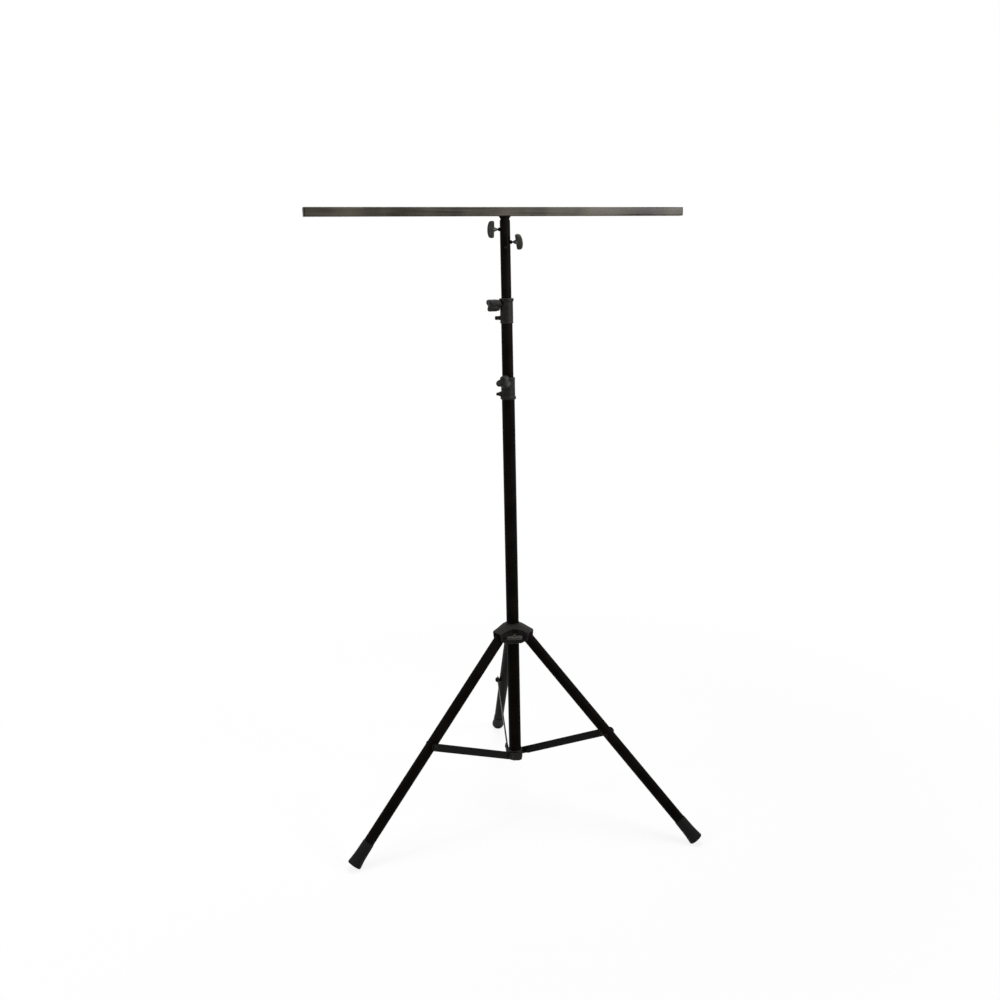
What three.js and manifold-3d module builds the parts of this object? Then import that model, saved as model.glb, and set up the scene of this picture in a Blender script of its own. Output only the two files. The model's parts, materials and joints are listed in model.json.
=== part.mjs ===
// A telescopic lighting stand with a T-bar on top.
// Three steel mast tubes slide in one another and are held by two clamp collars.
// A cast hub slides on the lowest tube and carries three folding legs.
// A flat strut ties each leg to the cup at the mast's foot, so the legs fold together.
// Units are millimetres, Z is up, and the floor is at zero.

import * as THREE from "three";
import { mergeVertices } from "three/addons/utils/BufferGeometryUtils.js";
import Module from "manifold-3d";

const wasm = await Module();
wasm.setup();

// Running clearance between pieces that touch or slide
const CLEARANCE = 0.3;
// How far a cutting shape runs past the piece that it cuts
const OVERRUN = 2;
const DEGREE = Math.PI / 180;

// Cross bar
const BAR_LENGTH = 1200;
const BAR_SIZE = 26;
const BAR_WALL = 1.5;
const BAR_CORNER_RADIUS = 2.5;
const BAR_TURN = 21 * DEGREE;
const PLUG_FLANGE = 2.5;
const PLUG_STEM = 16;
const PLUG_STEM_WALL = 2;
const PLUG_HOLE_CORNER = 0.5;

// Spigot under the cross bar, with the flare that is welded to it
const SPIGOT_DIAMETER = 27.4;
const SPIGOT_WALL = 2;
const SPIGOT_DEPTH = 77;
const SPIGOT_NECK = 4.5;
const FLARE_HEIGHT = 6.5;
const FLARE_DIAMETER = 34;
const FLARE_BULGE_OUT_SHARE = 0.67;
const FLARE_BULGE_UP_SHARE = 0.6;

// Mast tubes, from the top down
const TOP_TUBE_DIAMETER = 31;
const TOP_TUBE_WALL = 1.5;
const TOP_TUBE_LENGTH = 1000;
const MIDDLE_TUBE_DIAMETER = 35;
const MIDDLE_TUBE_WALL = 1.5;
const MIDDLE_TUBE_LENGTH = 1100;
const MAIN_TUBE_DIAMETER = 40;
const MAIN_TUBE_WALL = 1.5;
const MAIN_TUBE_LENGTH = 1248;
// Bare stretches of the two upper tubes at the height that the stand is set to
const MIDDLE_TUBE_SHOWN = 165;
const TOP_TUBE_SHOWN = 229;
const GUIDE_FLANGE = 6;
const GUIDE_STEM = 22;
const GUIDE_WALL = 2.5;

// Two T-screws that grip the spigot through the top tube's wall
const T_SCREW_DROPS = { upper: 26.5, lower: 64 };
const T_SCREW_AZIMUTHS = { upper: 187 * DEGREE, lower: -12 * DEGREE };
const T_SCREW_TILTS = { upper: -22 * DEGREE, lower: 35 * DEGREE };
const T_SCREW_DIAMETER = 6;
const SCREW_POINT_SHARE = 0.3;
const SOCKET_NUT_DIAMETER = 11;
const SOCKET_NUT_HEIGHT = 4.5;

// T-shaped screw head, the same on the socket and on the hub
const T_HEAD_SPAN = 52;
const T_HEAD_DEPTH = 21;
const T_HEAD_END_DEPTH = 13;
const T_HEAD_THICKNESS = 12;
const T_HEAD_EDGE = 2.5;
const T_HEAD_CORNER = 5;
const T_STEM_LENGTH = 9;
const T_STEM_FOOT_DIAMETER = 8;
const T_STEM_TOP_DIAMETER = 17;
const T_STEM_FOOT_SHARE = 0.25;
const T_STEM_WAIST_SHARE = 0.62;
const T_SCREW_SHOWN = 3.5;
const HUB_SCREW_SHOWN = 5.5;

// Stop rivet that the spigot stands on inside the top tube
const STOP_RIVET_DIAMETER = 5;
const STOP_RIVET_HEAD_DIAMETER = 9;
const STOP_RIVET_HEAD_HEIGHT = 1.6;
const RIVET_BEVEL_SHARE = 0.6;
const STOP_RIVET_AZIMUTH = 272 * DEGREE;

// Clamp collars on the two tube joints
const CLAMP_NECK = 26;
const CLAMP_GROOVE_DEPTH = 0.8;
const CLAMP_GROOVE_WIDTH = 1.6;
const CLAMP_EDGE = 1;
const CLAMPS = {
  upper: {
    height: 75, wall: 2.4, rimHeight: 9, rimWall: 4.7, lipHeight: 3, lipWall: 2.8,
    knobDrop: 18, knobAzimuth: 197 * DEGREE, knobTurn: 60 * DEGREE,
    pinDrop: 58.5, pinAzimuth: 186 * DEGREE, pinBoss: 13.5, pinCap: 12, pinCapLength: 8, pinCapRound: 3,
    grooveDrops: [68.5, 52],
  },
  lower: {
    height: 67, wall: 1.8, rimHeight: 4, rimWall: 2.2, lipHeight: 8, lipWall: 4.2,
    knobDrop: 10, knobAzimuth: 252 * DEGREE, knobTurn: 77 * DEGREE,
    pinDrop: 50.3, pinAzimuth: 190 * DEGREE, pinBoss: 17, pinCap: 9.5, pinCapLength: 6.5, pinCapRound: 4.5,
    grooveDrops: [41, 27],
  },
};
const CLAMP_BOSS_DIAMETER = 20;
const CLAMP_BOSS_HEIGHT = 5;

// Three-lobed clamp knob and its screw
const KNOB_DIAMETER = 41;
const KNOB_LOBES = 3;
const KNOB_LOBE_DEPTH = 8.5;
// Lower values make fuller lobes with narrower notches between them
const KNOB_LOBE_FULLNESS = 0.6;
// Higher values keep the lobes nearer to the rim
const KNOB_LOBE_RISE = 3;
const KNOB_LENGTH = 32.5;
const KNOB_FOOT_DIAMETER = 31;
const KNOB_FOOT_LENGTH = 3;
const KNOB_SHOULDER_ROUND = 5;
const KNOB_NOSE_ROUND = 9.5;
const KNOB_DISH_DIAMETER = 18;
const KNOB_DISH_DEPTH = 2;
const KNOB_SCREW_DIAMETER = 8;
const KNOB_SCREW_GRIP = 18;

// Sprung lock pin below each clamp knob
const PIN_DIAMETER = 5;
const PIN_FLANGE_DIAMETER = 8;
const PIN_FLANGE_THICKNESS = 1.4;
const PIN_TRAVEL = 3;
const PIN_SPRING_TURNS = 3;
const PIN_SPRING_WIRE = 0.8;
const PIN_SPRING_LENGTH = PIN_TRAVEL + PIN_SPRING_WIRE * (PIN_SPRING_TURNS + 1);
const PIN_BOSS_TIP_DIAMETER = 12;
const PIN_BOSS_END_WALL = 1.6;
const PIN_HOLE_PITCH = 120;
const PIN_HOLE_COUNT = 4;
const PIN_HOLES_ABOVE = 1;

// Hub that slides on the main tube
const HUB_PIVOT_RADIUS = 50;
const HUB_BARREL_DIAMETER = 54;
const HUB_BARREL_DROP = 25;
const HUB_NECK_RISE = 39;
const HUB_NECK_DIAMETER = 46;
const HUB_ROOF_RISE = 34.5;
const HUB_ROOF_INNER_RADIUS = 30;
const HUB_ROOF_EDGE_RISE = 19.5;
const HUB_ROOF_EDGE_RADIUS = 64;
const HUB_ROOF_THICKNESS = 4;
const HUB_ROOF_ARC_RADIUS = 75;
const HUB_CHEEK_THICKNESS = 4.5;
const HUB_CHEEK_DROP = 20;
const HUB_CHEEK_NOSE_RADIUS = 12.5;
const HUB_CHEEK_LIP = 5;
const HUB_SCREW_RISE = 7.5;
const HUB_SCREW_AZIMUTH = 276 * DEGREE;
const HUB_SCREW_BOSS_DIAMETER = 16;
const HUB_SCREW_BOSS_HEIGHT = 4;
const HUB_LINER_WALL = 1.2;
const HUB_LINER_FLANGE = 2;

// Legs
const LEG_COUNT = 3;
const FIRST_LEG_AZIMUTH = 216.3 * DEGREE;
const LEG_DIAMETER = 34;
const LEG_WALL = 1.5;
const LEG_REACH = 830;
const LEG_SPREAD = 43.3 * DEGREE;
const LEG_TOP_END = 8;
const PIVOT_BOLT_DIAMETER = 6;
const PIVOT_HEAD_DIAMETER = 12;
const PIVOT_HEAD_HEIGHT = 3;
const PIVOT_NUT_ACROSS = 10;
const PIVOT_NUT_HEIGHT = 4;
// Straight share of a domed bolt head's height
const BOLT_RIM_SHARE = 0.33;

// Rubber feet
const FOOT_LENGTH = 80;
const FOOT_FLARE_LENGTH = 56;
const FOOT_FLARE_STEPS = 4;
const FOOT_FLARE_CURVE = 2;
const FOOT_LIP_DIAMETER = 36.6;
const FOOT_WAIST_DIAMETER = 37.6;
const FOOT_END_DIAMETER = 46;
const FOOT_EDGE_RADIUS = 5;
const FOOT_SOLE_THICKNESS = 26;
const FOOT_SOLE_DOME = 1.5;
// Depth of the flat that the rubber wears where it stands on the floor
const FOOT_FLAT = 0.8;

// Struts between the legs and the cup
const STRUT_JOINT_REACH = 403;
const STRUT_LENGTH = 315;
const STRUT_WIDTH = 25;
const STRUT_THICKNESS = 3;
const STRUT_SPACER_THICKNESS = 3.4;
const STRUT_SPACER_DIAMETER = 16;
const STRUT_BOLT_DIAMETER = 8;
const STRUT_BOLT_HEAD_DIAMETER = 18;
const STRUT_BOLT_HEAD_HEIGHT = 8;
const STRUT_NUT_ACROSS = 13;
const STRUT_NUT_HEIGHT = 4;
const STRUT_RIVET_DIAMETER = 6;
const STRUT_RIVET_HEAD_DIAMETER = 11;
const STRUT_RIVET_HEAD_HEIGHT = 1.8;

// Cup at the mast's foot, with an ear beside each strut
const CUP_DIAMETER = 49;
const CUP_HEIGHT = 36;
const CUP_FLOOR = 4;
const CUP_BOTTOM_ROUND = 8;
const CUP_EDGE = 1;
const CUP_PIN_RADIUS = 35;
const CUP_PIN_RISE = 28;
const EAR_THICKNESS = 4;
const EAR_NOSE_RADIUS = 11.5;
const EAR_ROOT_LENGTH = 15;
const EAR_ROOT_RISE = 4;
const EAR_ROOT_HEIGHT = 18;
const EAR_DOME_DIAMETER = 12;
const EAR_DOME_HEIGHT = 2.4;
const CUP_SCREW_DIAMETER = 5;
const CUP_SCREW_HEAD_DIAMETER = 9;
const CUP_SCREW_HEAD_HEIGHT = 2.4;
const CUP_SCREW_REACH = 6;
const CUP_SCREW_AZIMUTH = 109.3 * DEGREE;

// Facets round the mast tubes, the lobed knobs, the other large circles, the small ones and the
// drilled holes
const TUBE_ROUND = 28;
const KNOB_ROUND = 24;
const ROUND = 20;
const SMALL_ROUND = 12;
const HOLE_ROUND = 8;
// Edges that stand out less than this from their faces are left out
const FACET_TOLERANCE = 0.04;

// Sizes that follow from the ones above
const TOP_TUBE_RADIUS = TOP_TUBE_DIAMETER / 2;
const MIDDLE_TUBE_RADIUS = MIDDLE_TUBE_DIAMETER / 2;
const MAIN_TUBE_RADIUS = MAIN_TUBE_DIAMETER / 2;
const LEG_RADIUS = LEG_DIAMETER / 2;
const LEG_CLEARANCE = CLEARANCE + CLEARANCE;
const STRUT_INNER_FACE = LEG_RADIUS + STRUT_SPACER_THICKNESS + CLEARANCE * 2;
const STRUT_OUTER_FACE = STRUT_INNER_FACE + STRUT_THICKNESS;
const EAR_INNER_FACE = STRUT_OUTER_FACE + CLEARANCE;
const EAR_OUTER_FACE = EAR_INNER_FACE + EAR_THICKNESS;

// The leg's sole touches the floor with the rounded edge of its end, less the worn flat
const HUB_HEIGHT = (LEG_REACH - FOOT_EDGE_RADIUS) * Math.cos(LEG_SPREAD)
  + (FOOT_END_DIAMETER / 2 - FOOT_EDGE_RADIUS) * Math.sin(LEG_SPREAD) + FOOT_EDGE_RADIUS - FOOT_FLAT;

// The strut's length sets how far the cup hangs below the hub
const STRUT_JOINT_RADIUS = HUB_PIVOT_RADIUS + STRUT_JOINT_REACH * Math.sin(LEG_SPREAD);
const STRUT_JOINT_HEIGHT = HUB_HEIGHT - STRUT_JOINT_REACH * Math.cos(LEG_SPREAD);
const STRUT_RISE = Math.sqrt(STRUT_LENGTH ** 2 - (STRUT_JOINT_RADIUS - CUP_PIN_RADIUS) ** 2);
const STRUT_SLOPE = Math.asin(STRUT_RISE / STRUT_LENGTH);
const CUP_PIN_HEIGHT = STRUT_JOINT_HEIGHT - STRUT_RISE;
const CUP_HEIGHT_ON_MAST = CUP_PIN_HEIGHT - CUP_PIN_RISE;

// Heights up the mast
const MAIN_TUBE_FOOT = CUP_HEIGHT_ON_MAST + CUP_FLOOR + CLEARANCE;
const LOWER_CLAMP_TOP = MAIN_TUBE_FOOT + MAIN_TUBE_LENGTH + CLEARANCE + CLAMP_NECK;
const UPPER_CLAMP_TOP = LOWER_CLAMP_TOP + MIDDLE_TUBE_SHOWN + CLAMPS.upper.height;
const MIDDLE_TUBE_TOP = UPPER_CLAMP_TOP - CLAMP_NECK - CLEARANCE;
const TOP_TUBE_TOP = UPPER_CLAMP_TOP + TOP_TUBE_SHOWN;
const BAR_BOTTOM = TOP_TUBE_TOP + SPIGOT_NECK + FLARE_HEIGHT + CLEARANCE;
const BAR_MIDDLE = BAR_BOTTOM + BAR_SIZE / 2;

const PAINTED_BLACK = { name: "black_powder_coat", color: 0x141414, roughness: 0.45, metalness: 0.2 };
const PAINTED_GREY = { name: "grey_powder_coat", color: 0x4b4743, roughness: 0.4, metalness: 0.5 };
const CAST_BLACK = { name: "cast_black", color: 0x1d1d1e, roughness: 0.6, metalness: 0.1 };
const KNOB_PLASTIC = { name: "knob_plastic", color: 0x191a1a, roughness: 0.55, metalness: 0 };
const KNOB_METAL = { name: "knob_metal", color: 0x4a4844, roughness: 0.45, metalness: 0.6 };
const PLASTIC = { name: "black_plastic", color: 0x101010, roughness: 0.6, metalness: 0 };
const RUBBER = { name: "black_rubber", color: 0x0e0e0e, roughness: 0.85, metalness: 0 };
const STEEL = { name: "zinc_steel", color: 0x9a9a98, roughness: 0.35, metalness: 0.9 };
const BLACK_STEEL = { name: "black_steel", color: 0x161616, roughness: 0.5, metalness: 0.4 };

// Turns a closed three.js geometry into a solid that can be joined and cut
function solid(geometry) {
  const bare = geometry.clone();
  bare.deleteAttribute("normal");
  bare.deleteAttribute("uv");
  const merged = mergeVertices(bare);
  const corners = merged.getAttribute("position");
  const order = merged.getIndex().array;
  const faces = [];
  for (let first = 0; first < order.length; first += 3) {
    const [a, b, c] = [order[first], order[first + 1], order[first + 2]];
    if (a !== b && b !== c && c !== a) faces.push([a, b, c]);
  }
  const outward = volumeInside(corners, faces) > 0;
  const triVerts = new Uint32Array(faces.flatMap(([a, b, c]) => (outward ? [a, b, c] : [a, c, b])));
  const vertProperties = new Float32Array(corners.array);
  return new wasm.Manifold(new wasm.Mesh({ numProp: 3, vertProperties, triVerts }));
}

// Six times the volume inside the faces, which is negative when they point inwards
function volumeInside(corners, faces) {
  const [a, b, c] = [new THREE.Vector3(), new THREE.Vector3(), new THREE.Vector3()];
  let volume = 0;
  for (const [first, second, third] of faces) {
    a.fromBufferAttribute(corners, first);
    b.fromBufferAttribute(corners, second);
    c.fromBufferAttribute(corners, third);
    volume += a.dot(b.cross(c));
  }
  return volume;
}

function join(...solids) {
  return solids.reduce((whole, next) => whole.add(next));
}

function cut(body, ...tools) {
  return tools.reduce((rest, tool) => rest.subtract(tool), body);
}

// A named sub-part with its own material
function piece(name, body, finish) {
  const { vertProperties, triVerts } = body.asOriginal().simplify(FACET_TOLERANCE).getMesh();
  const geometry = new THREE.BufferGeometry();
  geometry.setAttribute("position", new THREE.BufferAttribute(vertProperties, 3));
  geometry.setIndex(new THREE.BufferAttribute(triVerts, 1));
  geometry.computeVertexNormals();
  const mesh = new THREE.Mesh(geometry, new THREE.MeshStandardMaterial(finish));
  mesh.name = name;
  return mesh;
}

// A closed outline of [radius, height] pairs turned round the Z axis
function revolve(outline, facets = ROUND) {
  const points = outline.map(([radius, height]) => new THREE.Vector2(radius, height));
  const [start, end] = [points[0], points[points.length - 1]];
  if (start.x > 0 || end.x > 0) points.push(start.clone());
  return new THREE.LatheGeometry(points, facets).rotateX(Math.PI / 2);
}

function tube(outer, inner, bottom, top, facets = ROUND) {
  return revolve([[inner, bottom], [outer, bottom], [outer, top], [inner, top]], facets);
}

function rod(radius, bottom, top, facets = SMALL_ROUND) {
  return revolve([[0, bottom], [radius, bottom], [radius, top], [0, top]], facets);
}

// Points of a rounded corner about a centre, from one angle to another
function arc(centre, radius, from, to, steps) {
  const points = [];
  for (let step = 0; step <= steps; step += 1) {
    const angle = from + (to - from) * (step / steps);
    points.push([centre[0] + radius * Math.cos(angle), centre[1] + radius * Math.sin(angle)]);
  }
  return points;
}

// Lays a shape that was made along Z along another way
function alongX(geometry) {
  return geometry.rotateY(Math.PI / 2);
}

function alongY(geometry) {
  return geometry.rotateX(-Math.PI / 2);
}

function outlineShape(points) {
  return new THREE.Shape(points.map(([across, up]) => new THREE.Vector2(across, up)));
}

// A flat outline given as [X, Z] pairs, made as thick as asked from one Y to another
function plateFacingY(shape, fromY, toY, curveSegments = ROUND / 4) {
  const geometry = new THREE.ExtrudeGeometry(shape, {
    depth: toY - fromY, bevelEnabled: false, curveSegments,
  });
  return geometry.rotateX(Math.PI / 2).translate(0, toY, 0);
}

function roundedSquare(size, corner) {
  const half = size / 2;
  const inner = half - corner;
  const shape = new THREE.Shape();
  shape.absarc(inner, inner, corner, 0, Math.PI / 2, false);
  shape.absarc(-inner, inner, corner, Math.PI / 2, Math.PI, false);
  shape.absarc(-inner, -inner, corner, Math.PI, Math.PI * 1.5, false);
  shape.absarc(inner, -inner, corner, Math.PI * 1.5, Math.PI * 2, false);
  return shape;
}

function extrudeAlongX(shape, fromX, toX, curveSegments = 3) {
  const geometry = new THREE.ExtrudeGeometry(shape, {
    depth: toX - fromX, bevelEnabled: false, curveSegments,
  });
  return alongX(geometry).translate(fromX, 0, 0);
}

// A group turned to a compass direction about the mast, at a height
function facing(azimuth, height) {
  const group = new THREE.Group();
  group.rotation.z = azimuth;
  group.position.z = height;
  return group;
}

function hexagon(across, bottom, top) {
  return rod(across / Math.sqrt(3), bottom, top, 6);
}

// Cross bar: a square steel tube with a plastic plug in each end
function crossBar() {
  const shape = roundedSquare(BAR_SIZE, BAR_CORNER_RADIUS);
  shape.holes.push(roundedSquare(BAR_SIZE - BAR_WALL * 2, BAR_CORNER_RADIUS - BAR_WALL));
  const half = BAR_LENGTH / 2 - PLUG_FLANGE - CLEARANCE;
  return piece("t_bar_tube", solid(extrudeAlongX(shape, -half, half)), PAINTED_GREY);
}

function barPlug(name, side) {
  const end = BAR_LENGTH / 2;
  const inside = BAR_SIZE - (BAR_WALL + CLEARANCE) * 2;
  const flange = solid(extrudeAlongX(roundedSquare(BAR_SIZE, BAR_CORNER_RADIUS), end - PLUG_FLANGE, end));
  const stemStart = end - PLUG_FLANGE - PLUG_STEM;
  const stem = roundedSquare(inside, BAR_CORNER_RADIUS - BAR_WALL);
  stem.holes.push(roundedSquare(inside - PLUG_STEM_WALL * 2, PLUG_HOLE_CORNER));
  const plug = piece(name, join(flange, solid(extrudeAlongX(stem, stemStart, end - PLUG_FLANGE))), PLASTIC);
  plug.rotation.z = side > 0 ? 0 : Math.PI;
  return plug;
}

// Spigot: a tube that drops into the mast, with a flare welded under the bar
function barSpigot() {
  const outer = SPIGOT_DIAMETER / 2;
  const inner = outer - SPIGOT_WALL;
  const bottom = TOP_TUBE_TOP - SPIGOT_DEPTH;
  const flareFoot = TOP_TUBE_TOP + SPIGOT_NECK;
  const flareTop = flareFoot + FLARE_HEIGHT;
  const bulge = outer + (FLARE_DIAMETER / 2 - outer) * FLARE_BULGE_OUT_SHARE;
  const flareBulge = [bulge, flareFoot + FLARE_HEIGHT * FLARE_BULGE_UP_SHARE];
  const outline = [
    [inner, bottom], [outer - CLEARANCE, bottom], [outer, bottom + SPIGOT_WALL], [outer, flareFoot],
    flareBulge, [FLARE_DIAMETER / 2, flareTop], [inner, flareTop],
  ];
  return piece("t_bar_spigot", solid(revolve(outline)), PAINTED_BLACK);
}

// A row of lock-pin holes down one side of an inner tube, set so that the pin rests between two
function pinHoles(tubeRadius, azimuth, pinHeight) {
  const holes = [];
  for (let step = -PIN_HOLES_ABOVE; step < PIN_HOLE_COUNT; step += 1) {
    const height = pinHeight - PIN_HOLE_PITCH / 2 - PIN_HOLE_PITCH * step;
    holes.push(radialHole(PIN_DIAMETER / 2 + CLEARANCE, tubeRadius / 2, tubeRadius + OVERRUN, azimuth, height));
  }
  return holes;
}

function radialHole(radius, from, to, azimuth, height) {
  return solid(alongX(rod(radius, from, to, HOLE_ROUND)).rotateZ(azimuth).translate(0, 0, height));
}

// Top tube: its open end is the socket for the spigot, with two threaded bosses on its sides
function topTube() {
  const outer = TOP_TUBE_RADIUS;
  const inner = outer - TOP_TUBE_WALL;
  const bottom = TOP_TUBE_TOP - TOP_TUBE_LENGTH;
  const lip = TOP_TUBE_WALL / 3;
  const outline = [
    [inner, bottom], [outer, bottom], [outer, TOP_TUBE_TOP - lip], [outer - lip, TOP_TUBE_TOP],
    [inner, TOP_TUBE_TOP],
  ];
  const screwHole = T_SCREW_DIAMETER / 2 + CLEARANCE;
  const holes = Object.keys(T_SCREW_DROPS).map((place) => radialHole(
    screwHole, inner - OVERRUN, outer + OVERRUN, T_SCREW_AZIMUTHS[place], TOP_TUBE_TOP - T_SCREW_DROPS[place],
  ));
  const rivetHole = radialHole(
    STOP_RIVET_DIAMETER / 2 + CLEARANCE, -outer - OVERRUN, outer + OVERRUN, STOP_RIVET_AZIMUTH, stopRivetHeight(),
  );
  const pinHeight = UPPER_CLAMP_TOP - CLAMPS.upper.pinDrop;
  const locks = pinHoles(outer, CLAMPS.upper.pinAzimuth, pinHeight);
  return piece("top_tube", cut(solid(revolve(outline, TUBE_ROUND)), ...holes, rivetHole, ...locks), PAINTED_BLACK);
}

function stopRivetHeight() {
  return TOP_TUBE_TOP - SPIGOT_DEPTH - STOP_RIVET_DIAMETER / 2 - CLEARANCE;
}

function stopRivet() {
  const wall = TOP_TUBE_RADIUS + CLEARANCE;
  const head = STOP_RIVET_HEAD_DIAMETER / 2;
  const shank = STOP_RIVET_DIAMETER / 2;
  const end = wall + STOP_RIVET_HEAD_HEIGHT;
  const bevel = head * RIVET_BEVEL_SHARE;
  const shape = revolve([
    [0, -end], [bevel, -end], [head, -wall], [shank, -wall],
    [shank, wall], [head, wall], [bevel, end], [0, end],
  ], SMALL_ROUND);
  const rivet = piece("spigot_stop_rivet", solid(alongX(shape)), BLACK_STEEL);
  const group = facing(STOP_RIVET_AZIMUTH, stopRivetHeight());
  group.add(rivet);
  return group;
}

// Threaded boss on the tube's side, hollowed to the tube's round
function socketNut(place) {
  const radius = SOCKET_NUT_DIAMETER / 2;
  const nutTop = TOP_TUBE_RADIUS + SOCKET_NUT_HEIGHT;
  const thread = T_SCREW_DIAMETER / 2 + CLEARANCE;
  const boss = solid(alongX(tube(radius, thread, TOP_TUBE_RADIUS / 2, nutTop, SMALL_ROUND)));
  const tubeSpace = solid(tube(TOP_TUBE_RADIUS + CLEARANCE, 0, -SOCKET_NUT_DIAMETER, SOCKET_NUT_DIAMETER));
  const group = facing(T_SCREW_AZIMUTHS[place], TOP_TUBE_TOP - T_SCREW_DROPS[place]);
  group.add(piece(`socket_nut_${place}`, cut(boss, tubeSpace), PAINTED_BLACK));
  return group;
}

// Outline of the T-head seen from its side: flat towards the screw and bowed outwards
function tHeadShape() {
  const half = T_HEAD_SPAN / 2;
  const corner = T_HEAD_CORNER;
  const shape = new THREE.Shape();
  shape.moveTo(0, corner - half);
  shape.quadraticCurveTo(0, -half, corner, -half);
  shape.lineTo(T_HEAD_END_DEPTH - corner, -half);
  shape.bezierCurveTo(T_HEAD_END_DEPTH + corner, -half, T_HEAD_DEPTH, -half / 2, T_HEAD_DEPTH, 0);
  shape.bezierCurveTo(T_HEAD_DEPTH, half / 2, T_HEAD_END_DEPTH + corner, half, T_HEAD_END_DEPTH - corner, half);
  shape.lineTo(corner, half);
  shape.quadraticCurveTo(0, half, 0, half - corner);
  return shape;
}

// T-shaped screw head on its flared stem, along X from the stem's foot
function tHead(name) {
  const flat = T_HEAD_THICKNESS - T_HEAD_EDGE * 2;
  const wing = new THREE.ExtrudeGeometry(tHeadShape(), {
    depth: flat, bevelEnabled: true, bevelSegments: 2, curveSegments: 4,
    bevelSize: T_HEAD_EDGE, bevelThickness: T_HEAD_EDGE, bevelOffset: -T_HEAD_EDGE,
  });
  wing.rotateX(Math.PI / 2).translate(T_STEM_LENGTH, flat / 2, 0);
  const foot = T_STEM_FOOT_DIAMETER / 2;
  const top = T_STEM_TOP_DIAMETER / 2;
  const waist = foot + (top - foot) * T_STEM_FOOT_SHARE;
  const hole = T_SCREW_DIAMETER / 2 + CLEARANCE;
  const holeEnd = T_STEM_LENGTH + T_HEAD_DEPTH / 2;
  const stem = revolve([
    [0, 0], [foot, 0], [foot, T_STEM_LENGTH * T_STEM_FOOT_SHARE], [waist, T_STEM_LENGTH * T_STEM_WAIST_SHARE],
    [top, T_STEM_LENGTH + T_HEAD_EDGE], [top, holeEnd], [0, holeEnd],
  ], SMALL_ROUND);
  const drilling = solid(alongX(rod(hole, -OVERRUN, holeEnd - T_HEAD_EDGE)));
  return piece(name, cut(join(solid(wing), solid(alongX(stem))), drilling), KNOB_METAL);
}

// A stud along X with a bevelled point
function pointedStud(radius, tip, end) {
  const bevel = radius * SCREW_POINT_SHARE;
  const outline = [[0, tip], [radius - bevel, tip], [radius, tip + bevel], [radius, end], [0, end]];
  return solid(alongX(revolve(outline, SMALL_ROUND)));
}

// The stud that runs from inside the T-head to the tube that it grips
function tScrew(name, tip, stemFoot) {
  const end = stemFoot + T_STEM_LENGTH + T_HEAD_DEPTH / 2 - T_HEAD_EDGE - CLEARANCE;
  const radius = T_SCREW_DIAMETER / 2;
  return piece(name, pointedStud(radius, tip, end), BLACK_STEEL);
}

function tHandScrew(place) {
  const stemFoot = TOP_TUBE_RADIUS + SOCKET_NUT_HEIGHT + T_SCREW_SHOWN;
  const group = facing(T_SCREW_AZIMUTHS[place], TOP_TUBE_TOP - T_SCREW_DROPS[place]);
  const turned = new THREE.Group();
  turned.rotation.x = T_SCREW_TILTS[place];
  const head = tHead(`t_knob_${place}_head`);
  head.position.x = stemFoot;
  turned.add(head, tScrew(`t_knob_${place}_screw`, SPIGOT_DIAMETER / 2 + CLEARANCE, stemFoot));
  group.add(turned);
  return group;
}

// Plug in the foot of an inner tube, whose flange runs in the bore of the tube outside it
function guidePlug(name, tubeRadius, wall, bore, tubeBottom) {
  const stem = tubeRadius - wall - CLEARANCE;
  const flange = bore - CLEARANCE;
  const hole = stem - GUIDE_WALL;
  const flangeTop = tubeBottom - CLEARANCE;
  const flangeBottom = flangeTop - GUIDE_FLANGE;
  const chamfer = GUIDE_WALL / 4;
  const outline = [
    [hole, flangeBottom], [flange - chamfer, flangeBottom], [flange, flangeBottom + chamfer],
    [flange, flangeTop], [stem, flangeTop], [stem, flangeTop + GUIDE_STEM], [hole, flangeTop + GUIDE_STEM],
  ];
  return piece(name, solid(revolve(outline)), PLASTIC);
}

function middleTube() {
  const inner = MIDDLE_TUBE_RADIUS - MIDDLE_TUBE_WALL;
  const bottom = MIDDLE_TUBE_TOP - MIDDLE_TUBE_LENGTH;
  const body = solid(tube(MIDDLE_TUBE_RADIUS, inner, bottom, MIDDLE_TUBE_TOP, TUBE_ROUND));
  const { pinDrop, pinAzimuth } = CLAMPS.upper;
  const pinPassage = pinWallHole(inner, MIDDLE_TUBE_RADIUS, pinAzimuth, UPPER_CLAMP_TOP - pinDrop);
  const lowerPin = CLAMPS.lower;
  const locks = pinHoles(MIDDLE_TUBE_RADIUS, lowerPin.pinAzimuth, LOWER_CLAMP_TOP - lowerPin.pinDrop);
  return piece("middle_tube", cut(body, pinPassage, ...locks), PAINTED_BLACK);
}

function mainTube() {
  const inner = MAIN_TUBE_RADIUS - MAIN_TUBE_WALL;
  const top = MAIN_TUBE_FOOT + MAIN_TUBE_LENGTH;
  const body = solid(tube(MAIN_TUBE_RADIUS, inner, MAIN_TUBE_FOOT, top, TUBE_ROUND));
  const { pinDrop, pinAzimuth } = CLAMPS.lower;
  const pinPassage = pinWallHole(inner, MAIN_TUBE_RADIUS, pinAzimuth, LOWER_CLAMP_TOP - pinDrop);
  const screwHole = pinWallHole(inner, MAIN_TUBE_RADIUS, CUP_SCREW_AZIMUTH, cupScrewHeight());
  return piece("main_tube", cut(body, pinPassage, screwHole), PAINTED_BLACK);
}

function pinWallHole(inner, outer, azimuth, height) {
  return radialHole(PIN_DIAMETER / 2 + CLEARANCE, inner - OVERRUN, outer + OVERRUN, azimuth, height);
}

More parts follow.
